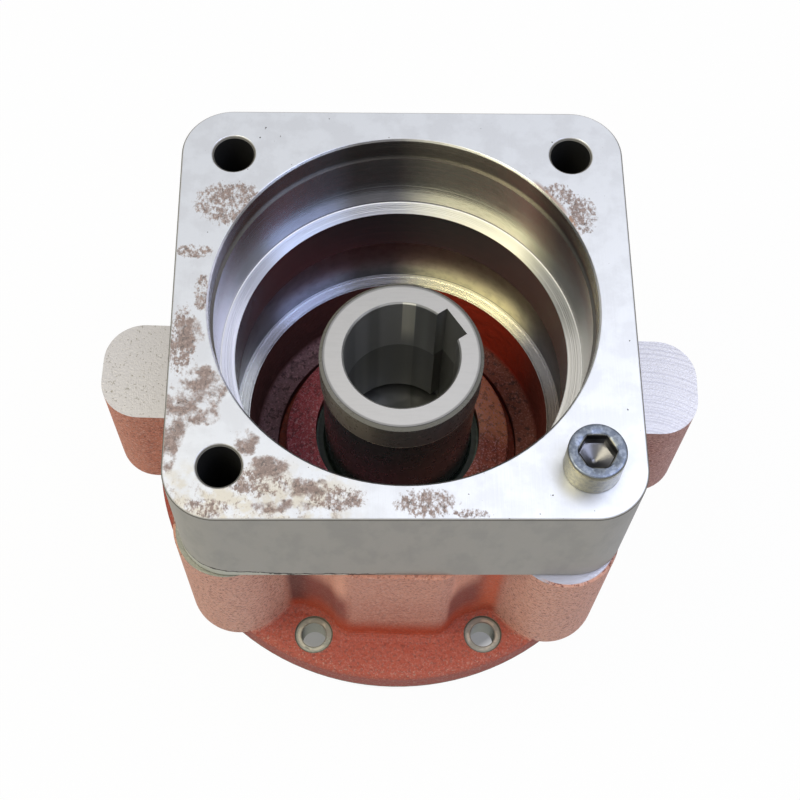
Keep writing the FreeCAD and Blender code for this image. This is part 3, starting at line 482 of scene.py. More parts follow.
class HOUSING_OT_motor_flange(bpy.types.Operator):
    """Milled top with rust stains, turned bores and grey sides on the square motor flange"""
    bl_idname = "housing.motor_flange"
    bl_label = "Motor flange"

    # Middle and half sizes of the stains on the top face, in millimetres: first of fine specks, then clouded
    specked = (
        (-57.0, 37.0, 11.0, 8.0), (-68.0, 18.5, 6.5, 2.4), (-64.5, 3.0, 2.6, 6.5),
        (-70.0, -14.0, 4.5, 12.0), (-21.0, -67.0, 9.0, 4.0), (6.0, -68.5, 9.0, 4.6),
        (20.0, -72.0, 6.0, 1.6), (51.0, 40.5, 6.5, 4.5), (59.0, 33.0, 4.5, 7.0),
        (-45.0, -62.0, 10.0, 4.6), (-58.5, -70.0, 8.0, 3.0),
    )
    clouded = (
        (-68.0, -11.0, 5.0, 6.0), (-64.0, -33.0, 8.0, 10.0), (-71.0, -41.0, 4.5, 9.0),
        (-72.0, -52.0, 2.5, 7.0), (-48.5, -48.5, 4.2, 4.2), (-41.0, -57.0, 6.0, 4.0),
        (-30.0, -64.0, 7.0, 3.5), (-36.0, -69.5, 10.0, 2.2),
    )
    rim_stain = (50.0, 41.0, 7.0, 9.0)

    def execute(self, context):
        settings = context.scene.block_settings
        f = Finish("milled_block")
        top = f.z.above(BLOCK_TOP - 0.15)
        inner = f.r.below(REGISTER_RADIUS + 0.9)
        bore = inner * (1.0 - top)
        side = (1.0 - top) * (1.0 - inner)
        hole = f.near_corners().below(MOTOR_HOLE_RADIUS) * f.z.below(BLOCK_TOP - 0.8)
        ledge = f.z.inside(LEDGE - 0.1, LEDGE + 0.1, 0.05)
        cloud = f.noise(9.0, 4.0, 0.6)
        fine = f.noise(0.9, 4.0, 0.7)
        stained = self.stains(f) * top
        pits = f.noise(1.8, 2.0, 0.5, offset=13.0).rise(0.745, 0.77)
        milled = f.mix(settings.bare, MILLED_CLOUD, cloud.rise(0.4, 0.62))
        milled = f.tint(milled, MILLED_GRAIN, fine.rise(0.60, 0.78) * 0.5)
        milled = f.tint(milled, YELLOWED, self.yellowed(f) * top)
        milled = f.mix(milled, self.stain_colour(f, settings, fine), stained * 0.94)
        milled = f.mix(milled, PIT, pits)
        colour = f.mix(milled, self.side_colour(f, settings), side)
        colour = f.mix(colour, self.bore_colour(f, settings, ledge), bore)
        # Painted shade: the walls of the motor holes are coloured near black
        colour = f.mix(colour, HOLE_SHADE, hole)
        rough = 0.34 + cloud * 0.06 + side * 0.16 + stained * 0.25
        rough = rough * (1.0 - bore) + bore * (0.17 + f.noise(3.0, 3.0) * 0.06 + ledge * 0.16)
        metal = 1.0 - stained * 0.75 - side * 0.55 - hole * 0.8 - bore * 0.22
        marks = f.bump(f.streaks(0.7, 22.0, 3.0), 0.03)
        skin = f.bump(f.noise(2.6, 3.0) * side, 0.10, normal=marks)
        rings = f.bump(f.grooves(4.0, 2.6) * bore * (0.15 + ledge * 0.85), 0.40, normal=skin)
        dress("motor_flange", f.close(Base_Color=colour, Roughness=rough, Metallic=metal, Normal=rings))
        return {"FINISHED"}

    def patch(self, f, places):
        total = f.blot(*places[0])
        for place in places[1:]:
            total = total.most(f.blot(*place))
        return total

    def stains(self, f):
        """Where damp has stained the milled face."""
        grain = f.bold(f.streaks(1.0, 1.4, 2.0, roughness=0.65)) - 0.5
        cloud = f.bold(f.noise(7.0, 5.0, 0.6, offset=31.0)) - 0.5
        place = self.patch(f, self.specked)
        specked = (place + grain + cloud * 0.4 - 0.55).rise(-0.2, 0.75) * place.rise(0.0, 0.25)
        place = self.patch(f, self.clouded)
        clouded = (place + cloud * 1.3 + grain * 0.35 - 0.50).rise(-0.25, 0.75) * place.rise(0.0, 0.15)
        rim = f.blot(*self.rim_stain) * f.r.rise(REGISTER_RADIUS + 2.4, REGISTER_RADIUS + 0.9)
        dots = (grain + cloud * 0.8 - 0.10).rise(0.0, 0.6) * f.y.rise(-56.0, -68.0) * f.x.rise(-18.0, -22.0)
        return specked.most(clouded).most(rim * 0.8).most(dots * 0.55)

    def yellowed(self, f):
        """The front left corner of the milled face."""
        corner = f.y.rise(-50.0, -66.0) * f.x.rise(-10.0, -24.0)
        return corner * f.bold(f.noise(6.0, 4.0, offset=7.0)).rise(0.1, 0.8)

    def stain_colour(self, f, settings, fine):
        grain = f.streaks(0.8, 1.1, 2.0, offset=5.0, detail=4.0)
        rim = f.r.rise(REGISTER_RADIUS + 2.0, REGISTER_RADIUS + 0.9)
        pale = f.mix(settings.stain, STAIN_PALE, fine.rise(0.45, 0.65))
        pale = f.mix(pale, STAIN_RIM, rim * f.x.rise(10.0, 20.0) * f.y.rise(20.0, 26.0))
        return f.mix(pale, STAIN_DARK, grain.rise(0.54, 0.66))

    def side_colour(self, f, settings):
        """Even grey, a little mottled, with the witness line of the sawn edge near the foot, and a dark band
        of painted shade on the top edge's chamfer.
        """
        mottle = f.streaks(7.0, 7.0, 16.0, detail=4.0)
        grey = f.mix(settings.side, SIDE_MOTTLE, mottle.rise(0.42, 0.66))
        wave = f.bold(f.noise(4.0, 3.0, offset=3.0)) * 1.1 + f.x.rise(-34.0, -70.0) * 4.0
        level = BODY_TOP + 1.3 + wave
        front = f.y.rise(-50.0, -56.0) * f.x.rise(12.0, -20.0)
        grey = f.mix(grey, SAWN_FOOT, f.z.rise(level + 0.1, level - 0.2) * front)
        grey = f.mix(grey, SAWN_LINE, abs(f.z - level).rise(0.62, 0.30) * front)
        # Painted shade: a dark band on the chamfer under the top edge
        rim = f.z.inside(BLOCK_TOP - 0.75, BLOCK_TOP - 0.38, 0.08)
        return f.mix(grey, EDGE_CHAMFER_SHADE, rim * 0.8)

    def bore_colour(self, f, settings, ledge):
        """Turned bores with painted reflection and painted shade: bright ledge with a painted highlight on
        its rim, a dark corner line of painted shade above it, painted shade below it and on the register
        wall, and a fine line at the register's foot.
        """
        shade = f.toward(26.0, 0.93, 0.985)
        colour = f.tint(f.sheen(settings.bore, *BORE_SHEEN), BORE_SHADE, shade)
        colour = f.tint(colour, BORE_STREAK, f.streaks(3.0, 3.0, 0.5).rise(0.4, 0.7))
        colour = f.mix(colour, f.tint(f.sheen(LEDGE_DARK, *LEDGE_SHEEN), LEDGE_SHADE, shade), ledge)
        # Painted highlight: a pale line along the ledge's outer rim
        colour = f.mix(colour, LEDGE_RIM_HIGHLIGHT, ledge * f.r.above(REGISTER_RADIUS - 1.2))
        # Painted shade: a dark line in the corner where the wall stands on the ledge
        colour = f.tint(colour, LEDGE_CORNER_SHADE, f.z.inside(LEDGE + 0.12, LEDGE + 0.95, 0.08))
        # Painted shade below the ledge, darker on the left than on the right
        below = f.mix(BELOW_LEDGE_SHADE_LEFT, BELOW_LEDGE_SHADE_RIGHT, f.x.rise(-10.0, 20.0))
        colour = f.mix(colour, below, f.z.below(LEDGE - 0.4))
        foot = BLOCK_TOP - REGISTER_LENGTH
        # Painted shade: the register wall is darkened where it reflects the dark chamber
        colour = f.tint(colour, REGISTER_SHADE, f.z.above(foot + 0.1) * f.z.below(BLOCK_TOP - 0.7))
        return f.mix(colour, REGISTER_LINE, f.z.inside(foot - 0.06, foot + 0.06, 0.05))


class HOUSING_OT_motor_screw(bpy.types.Operator):
    """Socket head cap screw that holds the motor flange"""
    bl_idname = "housing.motor_screw"
    bl_label = "Motor screw"

    # Points in each ring, and lengths in millimetres
    segments = 60
    edge_steps = 4
    shank_radius = 6.0
    point_chamfer = 1.2
    seat_chamfer = 0.35
    groove_levels = (1.85, 1.35)
    groove_depth = 0.18
    groove_slope = 0.1
    socket_rim = 0.35
    socket_lead = 0.7
    cone_margin = 0.4
    cone_start = 0.15
    cone_depth = 2.6
    tip_radius = 1.0
    tip_depth = 0.3

    def execute(self, context):
        screw = self.build(context.scene.screw_settings)
        f = Finish("oiled_screw")
        spread = f.distance(SCREW_MIDDLE.x, SCREW_MIDDLE.y)
        top = SCREW_HIGH.z
        face = f.z.rise(top - 0.5, top - 0.2)
        line = f.z.inside(top - 1.75, top - 1.45, 0.05) * spread.rise(8.0, 8.5)
        socket = spread.below(6.0) * f.z.rise(top - 0.35, top - 0.6)
        worn = f.noise(1.6, 4.0, 0.65)
        speck = f.noise(0.5, 3.0, 0.7)
        colour = f.mix(SCREW_SIDE, SCREW_SIDE_WORN, worn.rise(0.42, 0.6))
        colour = f.mix(colour, f.mix(SCREW_TOP, SCREW_TOP_WORN, worn.rise(0.45, 0.6)), face)
        colour = f.mix(colour, SCREW_SPECK_AND_GROOVE_SHADE, face * speck.rise(0.64, 0.74))
        # Painted shade: the groove round the head is dark
        colour = f.mix(colour, SCREW_SPECK_AND_GROOVE_SHADE, line)
        colour = f.mix(colour, SCREW_SOCKET, socket)
        # Painted shade deep in the socket
        colour = f.mix(colour, SOCKET_DEEP_SHADE, socket * f.z.rise(top - 3.4, top - 2.4))
        rough = 0.30 + speck * 0.16 - socket * 0.06
        normal = f.bump(speck + worn * 0.6, 0.03)
        screw.data.materials.append(f.close(Base_Color=colour, Roughness=rough, Metallic=0.95, Normal=normal))
        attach(screw, "housing")
        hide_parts("motor_screw")
        return {"FINISHED"}

    def outline(self, head, edge):
        """Radius and level of each ring outside, from the shank's point to the head's top edge."""
        low = SCREW_LOW.z
        top = SCREW_HIGH.z
        shank = self.shank_radius
        groove_low, groove_high = (top - depth for depth in self.groove_levels)
        groove = head - self.groove_depth
        rings = [
            (shank - self.point_chamfer, low),
            (shank, low + self.point_chamfer),
            (shank, BLOCK_TOP),
            (head - self.seat_chamfer, BLOCK_TOP),
            (head, BLOCK_TOP + self.seat_chamfer),
            (head, groove_low),
            (groove, groove_low + self.groove_slope),
            (groove, groove_high - self.groove_slope),
            (head, groove_high),
        ]
        for step in range(self.edge_steps + 1):
            turn = math.pi / 2 * step / self.edge_steps
            rings.append((head - edge + edge * math.cos(turn), top - edge + edge * math.sin(turn)))
        return rings

    def build(self, settings):
        """Rings of points from the shank's point, over the head's edge and down into the socket."""
        top = SCREW_HIGH.z
        floor = top - settings.socket_depth
        across = settings.socket
        cone_foot = floor - self.cone_depth
        mesh = bmesh.new()
        loops = [self.circle(mesh, *ring) for ring in self.outline(settings.head_radius, settings.edge)]
        loops.append(self.circle(mesh, across / math.sqrt(3) + self.socket_rim, top))
        loops.append(self.hexagon(mesh, across, top - self.socket_lead))
        loops.append(self.hexagon(mesh, across, floor))
        loops.append(self.circle(mesh, across / 2 - self.cone_margin, floor - self.cone_start))
        loops.append(self.circle(mesh, self.tip_radius, cone_foot))
        for first, second in zip(loops, loops[1:]):
            for i, j in self.sides():
                mesh.faces.new((first[i], first[j], second[j], second[i]))
        self.cap(mesh, loops[0], SCREW_LOW.z)
        self.cap(mesh, loops[-1], cone_foot - self.tip_depth)
        bmesh.ops.recalc_face_normals(mesh, faces=mesh.faces)
        data = bpy.data.meshes.new("cap_screw")
        mesh.to_mesh(data)
        mesh.free()
        screw = bpy.data.objects.new("cap_screw", data)
        bpy.context.scene.collection.objects.link(screw)
        smooth(screw, 35.0)
        return screw

    def sides(self):
        return [(i, (i + 1) % self.segments) for i in range(self.segments)]

    def cap(self, mesh, loop, level):
        """Closes a ring with a fan of faces."""
        tip = mesh.verts.new((SCREW_MIDDLE.x * MM, SCREW_MIDDLE.y * MM, level * MM))
        for i, j in self.sides():
            mesh.faces.new((loop[i], loop[j], tip))

    def ring(self, mesh, reach, level):
        points = []
        for i in range(self.segments):
            turn = 2 * math.pi * i / self.segments
            x = SCREW_MIDDLE.x + reach(turn) * math.cos(turn)
            y = SCREW_MIDDLE.y + reach(turn) * math.sin(turn)
            points.append(mesh.verts.new((x * MM, y * MM, level * MM)))
        return points

    def circle(self, mesh, radius, level):
        return self.ring(mesh, lambda turn: radius, level)

    def hexagon(self, mesh, across_flats, level):
        sixth = math.pi / 3

        def reach(turn):
            return across_flats / 2 / math.cos(turn % sixth - sixth / 2)

        return self.ring(mesh, reach, level)


class HOUSING_OT_casting(bpy.types.Operator):
    """Red primed casting with bare machined faces and bores"""
    bl_idname = "housing.casting"
    bl_label = "Cast housing"

    arc_middle = (84.0, -42.0)

    def execute(self, context):
        settings = context.scene.casting_settings
        f = Finish("primed_casting")
        bare = self.machined(f)
        lumps = f.noise(2.4, 4.0, 0.62)
        speck = f.noise(0.8, 4.0, 0.7)
        outside = f.r.rise(CHAMBER_RADIUS + 0.6, CHAMBER_RADIUS + 1.2)
        outside = outside.most(f.z.rise(FLANGE_TOP + 0.4, FLANGE_TOP - 0.1))
        wall = f.r.above(CAST_BORE_RADIUS - 0.3, 0.3) * f.r.below(CHAMBER_RADIUS - 0.7, 0.5)
        wall = wall * f.z.rise(CAST_FLOOR + 3.0, CAST_FLOOR + 6.0)
        ledge = f.z.inside(CHAMBER_FLOOR - 0.12, CHAMBER_FLOOR + 0.12, 0.05)
        ledge = ledge * f.r.rise(CAST_BORE_RADIUS - 0.4, CAST_BORE_RADIUS + 0.6)
        inner = self.inner_paint(f, settings, speck, lumps)
        painted = f.mix(inner, self.outer_paint(f, settings, speck), outside)
        colour = f.mix(painted, self.bare_colour(f, ledge), bare)
        rough = f.node("ShaderNodeMapRange", None, {"Value": bare, "To Min": 0.58, "To Max": 0.34})
        rough = rough - wall * 0.16 + speck * 0.08
        skin = f.bump(lumps + speck * 0.6, 0.45, normal=f.bump(f.noise(6.0, 3.0), 1.2))
        even = f.bump(f.grooves(4.0, 2.6) * (0.12 + ledge * 0.88), 0.36)
        even = f.bump(speck * f.up().rise(0.7, 0.9), 0.10, normal=even)
        normal = f.node("ShaderNodeMix", {"data_type": "VECTOR"}, {0: bare, 4: skin, 5: even}, 1)
        dress("housing", f.close(Base_Color=colour, Roughness=rough, Metallic=bare * 0.88, Normal=normal))
        return {"FINISHED"}

    def near_bosses(self, f):
        return f.near_corners(CAST_TURN_DEG, CAST_SHIFT)

    def outer_paint(self, f, settings, speck):
        """Orange red in the hollows, faded pink where it stands proud, with dark and pale grains; the hollows
        carry painted shade and light, and the ears painted warm and cool light.
        """
        above = f.z.rise(FLANGE_TOP + 0.3, FLANGE_TOP + 2.5)
        above = above.most(f.r.rise(FLANGE_RADIUS + 0.2, FLANGE_RADIUS + 0.8))
        distance = self.near_bosses(f)
        boss = distance.rise(BOSS_RADIUS + 3.5, BOSS_RADIUS + 0.4) * above
        pad = abs(f.y).rise(PAD_REACH - 0.5, PAD_REACH + 1.1) * f.z.rise(17.0, 33.0)
        pad = pad * abs(f.x).rise(PAD_HALF_WIDTH + 1.0, PAD_HALF_WIDTH - 4.0)
        ear = abs(f.x).rise(76.0, 80.0) * f.z.rise(16.0, 21.0)
        proud = boss.most(pad * 0.62).most(ear)
        hollow = 1.0 - proud
        flange = f.z.rise(FLANGE_TOP + 3.5, FLANGE_TOP + 0.1)
        flange_side = f.z.rise(FLANGE_TOP - 1.0, FLANGE_TOP - 3.0)
        flange_side = flange_side * f.r.rise(FLANGE_RADIUS - 1.2, FLANGE_RADIUS - 0.4)
        beside = distance.rise(BOSS_RADIUS + 12.0, BOSS_RADIUS + 4.5) * hollow * f.z.rise(15.0, 24.0)
        between = distance.rise(BOSS_RADIUS + 6.0, BOSS_RADIUS + 13.0) * hollow * f.z.rise(42.0, 62.0)
        # Painted shade: the hollows darken upward, under the block
        colour = f.mix(settings.paint, VALLEY_SHADE, f.z.rise(17.0, 34.0) * hollow)
        colour = f.mix(colour, VALLEY_TOP, between)
        # Painted shade beside the bosses' feet on the left half, painted light on the right half
        colour = f.mix(colour, SHADE_BESIDE_LEFT_BOSS, beside * f.x.rise(10.0, -10.0))
        colour = f.mix(colour, LIGHT_BESIDE_RIGHT_BOSS, beside * f.x.rise(-10.0, 10.0))
        colour = f.mix(colour, FLANGE_PAINT, flange)
        colour = f.tint(colour, FLANGE_SIDE_TINT, flange_side)
        colour = f.mix(colour, settings.faded, proud * (0.78 + speck * 0.4))
        # Painted light: the ears are tinted cool on the right and warm on the left
        colour = f.tint(colour, RIGHT_EAR_COOL_LIGHT, f.x.rise(74.0, 80.0))
        colour = f.tint(colour, LEFT_EAR_WARM_LIGHT, f.x.rise(-74.0, -80.0))
        dashes = f.bold(f.streaks(1.1, 1.1, 0.6, detail=4.0, roughness=0.7)).rise(0.56, 0.95)
        colour = f.mix(colour, DARK_GRAIN, dashes * (0.35 + proud * 0.55 + flange * 0.3))
        pale = f.bold(f.streaks(0.9, 0.9, 0.6, offset=3.0, detail=4.0, roughness=0.7)).rise(0.56, 1.0)
        colour = f.mix(colour, PALE_GRAIN, pale * (0.14 + proud * 0.55))
        flecks = f.bold(f.noise(0.8, 3.0, 0.7, offset=17.0)).rise(0.72, 1.1)
        return f.mix(colour, FLANGE_FLECK, flecks * f.r.rise(80.0, 91.0) * flange * 0.45)

    def inner_paint(self, f, settings, speck, lumps):
        """Dark glossy wall, a floor ring and a hub with pale grains; wall, floor and hub have painted shade
        and light by side, the hub a painted pool of light, and the trench painted shade.
        """
        floor = f.z.rise(CAST_FLOOR + 3.5, CAST_FLOOR + 1.0) * f.r.above(TRENCH_OUTER_RADIUS - 0.4, 0.5)
        hub = f.r.rise(TRENCH_OUTER_RADIUS - 0.4, TRENCH_INNER_RADIUS + 0.3)
        trench = f.r.inside(TRENCH_INNER_RADIUS, TRENCH_OUTER_RADIUS, 0.3)
        trench = trench * f.z.rise(CAST_FLOOR + 0.5, CAST_FLOOR - 2.0)
        right = f.x.rise(-8.0, 14.0)
        # Painted shade and light: the wall is dark on the left and red on the right, brightest toward the
        # back right
        colour = f.mix(INNER_WALL_SHADE_LEFT, INNER_WALL_LIT_RIGHT, right)
        colour = f.mix(colour, settings.inner, f.toward(60.0, 0.72, 0.97))
        # Painted light on the floor ring: mauve on the left, orange on the right
        colour = f.mix(colour, f.mix(INNER_FLOOR_LIT_LEFT, INNER_FLOOR_LIT_RIGHT, right), floor)
        # Painted light on the hub by side, and a painted pool of light on it toward the right
        colour = f.mix(colour, f.mix(HUB_LIT_LEFT, HUB_LIT_RIGHT, right), hub)
        colour = f.mix(colour, HUB_GLOW, f.toward(20.0, 0.86, 0.985) * hub * 0.85)
        colour = f.mix(colour, INNER_LUMP, f.bold(lumps).rise(0.50, 0.95) * (floor * 0.8 + hub * 0.45))
        colour = f.mix(colour, INNER_SPECK, f.bold(speck).rise(0.60, 0.95) * (hub * 0.75 + floor * 0.3))
        # Painted shade in the trench round the hub
        return f.mix(colour, TRENCH_SHADE, trench * 0.8)

    def bare_colour(self, f, ledge):
        """Dark bores with painted reflection, painted shade high up and in the corner, a pale ledge with
        painted reflection, a pale cut top, and the spot-faces of the flange.
        """
        # Painted shade on the upper chamber wall
        upper = f.r.below(CHAMBER_RADIUS - 2.2, 0.5).most(f.z.rise(45.0, 62.0))
        # Painted shade in the corner above the chamber's ledge
        corner = f.z.inside(CHAMBER_FLOOR + 0.15, CHAMBER_FLOOR + 0.5, 0.08)
        corner = corner * f.r.rise(CHAMBER_RADIUS - 0.7, CHAMBER_RADIUS - 0.2)
        colour = f.mix(f.sheen(CHAMBER_DARK, *CHAMBER_SHEEN), CHAMBER_UPPER_SHADE, upper * 0.85)
        colour = f.tint(colour, WEAR, f.noise(4.0, 4.0).rise(0.4, 0.7))
        colour = f.mix(colour, f.sheen(SHELF_DARK, *SHELF_SHEEN), ledge)
        colour = f.tint(self.cut_top(f, colour), SHELF_CORNER_SHADE, corner)
        return self.spot_faces(f, colour)

    def cut_top(self, f, colour):
        """The sawn top of the casting: pits on the left ear, arcs of the cutter on the right one, painted
        warm shade on the left ear, and darker at the front with painted shade on the left crescent.
        """
        top = f.z.above(BODY_TOP - 0.2)
        left = f.x.rise(-70.0, -76.0) * top
        right = f.x.rise(70.0, 76.0) * top
        front = f.y.rise(-45.0, -50.0) * top
        pits = f.noise(0.9, 4.0, 0.7, offset=9.0).rise(0.585, 0.66)
        arcs = f.noise(1.0, 2.0, at=f.vector(f.distance(*self.arc_middle) * 1.1, 0.0, 0.0))
        colour = f.mix(colour, CUT_TOP, top)
        # Painted shade: the left ear's top is darker and warmer than the right one's
        colour = f.tint(colour, CUT_TOP_LEFT_SHADE, left)
        colour = f.mix(colour, CUT_TOP_PIT, pits * (left * 0.85 + top * 0.12))
        colour = f.tint(colour, CUT_TOP_ARC, f.bold(arcs).rise(0.4, 0.8) * right * 0.7)
        colour = f.tint(colour, CUT_TOP_FRONT, front)
        # Painted shade: the left crescent in front of the block is dull grey-green
        return f.mix(colour, CUT_TOP_CRESCENT_SHADE, front * f.x.rise(-40.0, -46.0))

    def spot_faces(self, f, colour):
        """Grey rings with a dark edge of painted shade and a painted glint, and the walls of the flange's
        holes darkened as painted shade.
        """
        near = self.near_holes(f)
        hole = FLANGE_BOLTS["hole_r_mm"]
        flange = f.z.below(FLANGE_TOP) * f.r.rise(68.0, 69.0)
        edge = near.rise((SPOT_FACE_RADIUS - 0.8) ** 2, (SPOT_FACE_RADIUS - 0.2) ** 2)
        glint = near.inside(4.9 ** 2, 5.9 ** 2, 2.0) * f.noise(5.0, 2.0, offset=23.0).rise(0.45, 0.6)
        wall = near.rise((hole + 0.45) ** 2, (hole + 0.2) ** 2)
        colour = f.mix(colour, SPOT_FACE, flange)
        # Painted shade at the spot-faces' outer edge, then a painted glint
        colour = f.tint(colour, SPOT_FACE_EDGE_SHADE, flange * edge)
        colour = f.mix(colour, SPOT_FACE_GLINT, flange * glint * 0.6)
        # Painted shade on the walls of the flange's holes
        return f.mix(colour, BOLT_HOLE_SHADE, wall * flange)

    def near_holes(self, f):
        """Square of the distance from the nearest hole of the flange."""
        reach = FLANGE_BOLTS["pcd_mm"] / 2
        count = FLANGE_BOLTS["count"]
        turns = [2 * math.pi * (step + 0.5) / count for step in range(count)]
        squares = [f.square(reach * math.cos(turn), reach * math.sin(turn)) for turn in turns]
        nearest = squares[0]
        for square in squares[1:]:
            nearest = nearest.least(square)
        return nearest

    def machined(self, f):
        """1 on the faces and bores that were cut after the paint went on."""
        top = f.z.rise(BODY_TOP - 0.25, BODY_TOP - 0.1) * (1.0 - self.painted_over(f))
        bore = f.z.above(CHAMBER_FLOOR - 0.2) * f.r.below(CHAMBER_RADIUS + 0.3)
        foot = f.z.rise(1.6, 1.3) * f.r.rise(PILOT_RADIUS + 0.5, PILOT_RADIUS + 1.0)
        pilot = f.z.below(0.2)
        spots = self.near_holes(f).rise((SPOT_FACE_RADIUS + 0.15) ** 2, (SPOT_FACE_RADIUS - 0.05) ** 2)
        spots = spots * f.z.rise(FLANGE_TOP + 0.5, FLANGE_TOP - 0.1)
        seal_bore = f.r.below(SEAL_BORE_RADIUS + 0.1) * f.z.below(HUB_EDGE_LEVEL + 0.1)
        return top.most(bore).most(foot).most(pilot).most(spots).most(seal_bore)

    def painted_over(self, f):
        """1 on the parts of the cut top that carry paint all the same."""
        corner = BLOCK_HALF - BLOCK_ROUND
        past = f.distance(-corner, -corner).rise(BLOCK_ROUND + 1.4, BLOCK_ROUND + 1.8)
        past = past * (f.x + corner).rise(4.0, 1.0) * (f.y + corner).rise(4.0, 1.0)
        strip = f.y.rise(-72.0, -73.0) * abs(f.x).rise(36.0, 34.0)
        rim = self.near_bosses(f).rise(BOSS_RADIUS - 1.2, BOSS_RADIUS - 0.9)
        rim = rim * f.x.rise(45.0, 50.0) * f.y.rise(-60.0, -62.0)
        return past.most(strip).most(rim)


class HOUSING_OT_shaft(bpy.types.Operator):
    """Turned hollow shaft"""
    bl_idname = "housing.shaft"
    bl_label = "Hollow shaft"

    def execute(self, context):
        f = Finish("turned_shaft")
        band_foot = SHAFT_TOP - SHAFT_BAND_LENGTH
        face = f.z.rise(SHAFT_TOP - 0.25, SHAFT_TOP - 0.1)
        outer = f.r.above(SHAFT_BAND_RADIUS, 0.2)
        edge = f.z.inside(SHAFT_TOP - 1.3, SHAFT_TOP - 0.2, 0.1) * outer
        band = f.z.inside(band_foot, SHAFT_TOP - 1.4, 0.1) * outer
        lip = f.z.inside(band_foot - 0.8, band_foot, 0.08) * outer
        bore = f.r.below(SHAFT_BORE_RADIUS) * (1.0 - face)
        relief = f.z.below(SHAFT_BORE_FOOT) * bore
        brushed = f.streaks(7.0, 0.9, 3.0)
        bars = f.bold(f.streaks(9.0, 9.0, 400.0, offset=4.3, detail=1.0)).rise(0.3, 0.9)
        colour = f.mix(SHAFT_DARK, SHAFT_FACE, face)
        colour = f.tint(colour, SHAFT_BRUSHED, face * f.bold(brushed).rise(0.4, 0.9))
        colour = f.tint(colour, SHAFT_FACE_RIM, face * f.r.rise(26.2, 26.7))
        # Painted reflection: the band is lighter toward the left front
        sides = f.mix(SHAFT_BAND, SHAFT_BAND_SHINE_LEFT, f.toward(220.0, 0.72, 0.98))
        colour = f.mix(colour, f.tint(sides, SHAFT_BAND_BAR, bars), band)
        colour = f.mix(colour, SHAFT_EDGE, edge)
        # Painted highlight: a bright line on the step just under the band
        colour = f.mix(colour, SHAFT_LIP_HIGHLIGHT, lip)
        # Painted light and shade in the bore: lighter on the left, darker on the right, with a painted glint
        glint = f.x.inside(0.6, 5.2, 0.2) * f.y.rise(0.0, 5.0) * f.z.rise(62.0, 76.0)
        inside = f.mix(SHAFT_BORE_LIT_LEFT, SHAFT_BORE_SHADE_RIGHT, f.x.above(5.2, 0.2))
        inside = f.mix(inside, SHAFT_BORE_GLINT, glint)
        colour = f.mix(colour, f.tint(inside, SHAFT_BORE_BAR, bars), bore)
        colour = f.tint(colour, SHAFT_RELIEF, relief)
        rough = 0.22 + f.noise(4.0, 4.0) * 0.08 + face * 0.20 + bore * 0.10 + brushed * 0.04
        metal = face * 0.95 + bore * 0.75 + (band + edge + lip) * 0.25
        grooves = f.bump(f.grooves(3.0, 3.0), 0.02)
        dress("drive_shaft", f.close(Base_Color=colour, Roughness=rough, Metallic=metal, Normal=grooves))
        return {"FINISHED"}


def plain_finish(name, first, second, rough, metal):
    """Even finish whose colour and gloss vary a little over the surface."""
    f = Finish(name)
    grain = 2.0
    vary = f.noise(grain, 4.0)
    colour = f.mix(first, second, vary.rise(0.35, 0.7))
    normal = f.bump(f.noise(grain / 3, 3.0), 0.03)
    return f.close(Base_Color=colour, Roughness=rough + vary * 0.15, Metallic=metal, Normal=normal)


class HOUSING_OT_seals(bpy.types.Operator):
    """Steel cased shaft seals with rubber lips and garter springs, and the O-rings"""
    bl_idname = "housing.seals"
    bl_label = "Seals"

    def execute(self, context):
        rubber = plain_finish("seal_rubber", (0.012, 0.02, 0.016), (0.03, 0.045, 0.035), 0.42, 0.0)
        case = plain_finish("seal_case", (0.05, 0.07, 0.06), (0.10, 0.12, 0.11), 0.32, 0.7)
        wire = plain_finish("spring_wire", (0.45, 0.45, 0.44), (0.6, 0.6, 0.6), 0.25, 1.0)
        for end in ("input", "output"):
            dress(end + "_seal_lip", rubber)
            dress(end + "_seal_case", case)
            dress(end + "_seal_spring", wire)
        dress("flange_o_ring", rubber)
        dress("end_cover_o_ring", rubber)
        return {"FINISHED"}


class HOUSING_OT_bearings(bpy.types.Operator):
    """Taper roller bearings"""
    bl_idname = "housing.bearings"
    bl_label = "Bearings"

    def execute(self, context):
        race = plain_finish("ground_race", (0.55, 0.56, 0.57), (0.68, 0.69, 0.70), 0.16, 1.0)
        cage = plain_finish("pressed_cage", (0.30, 0.30, 0.31), (0.42, 0.42, 0.42), 0.34, 1.0)
        rollers = plain_finish("polished_rollers", (0.68, 0.69, 0.70), (0.78, 0.79, 0.80), 0.10, 1.0)
        for end in ("upper", "lower"):
            dress(end + "_bearing_cup", race)
            dress(end + "_bearing_cone", race)
            dress(end + "_bearing_cage", cage)
            dress(end + "_bearing_rollers", rollers)
        return {"FINISHED"}


class HOUSING_OT_end_cover(bpy.types.Operator):
    """End cover, shims and screws under the housing's nose"""
    bl_idname = "housing.end_cover"
    bl_label = "End cover"

    def execute(self, context):
        cover = plain_finish("turned_cover", (0.48, 0.49, 0.49), (0.60, 0.61, 0.61), 0.36, 1.0)
        shims = plain_finish("shim_strip", (0.62, 0.58, 0.48), (0.70, 0.67, 0.58), 0.25, 1.0)
        screws = plain_finish("cover_screws", (0.08, 0.085, 0.09), (0.15, 0.155, 0.16), 0.34, 0.9)
        dress("end_cover", cover)
        dress("end_cover_shims", shims)
        dress("end_cover_screws", screws)
        return {"FINISHED"}


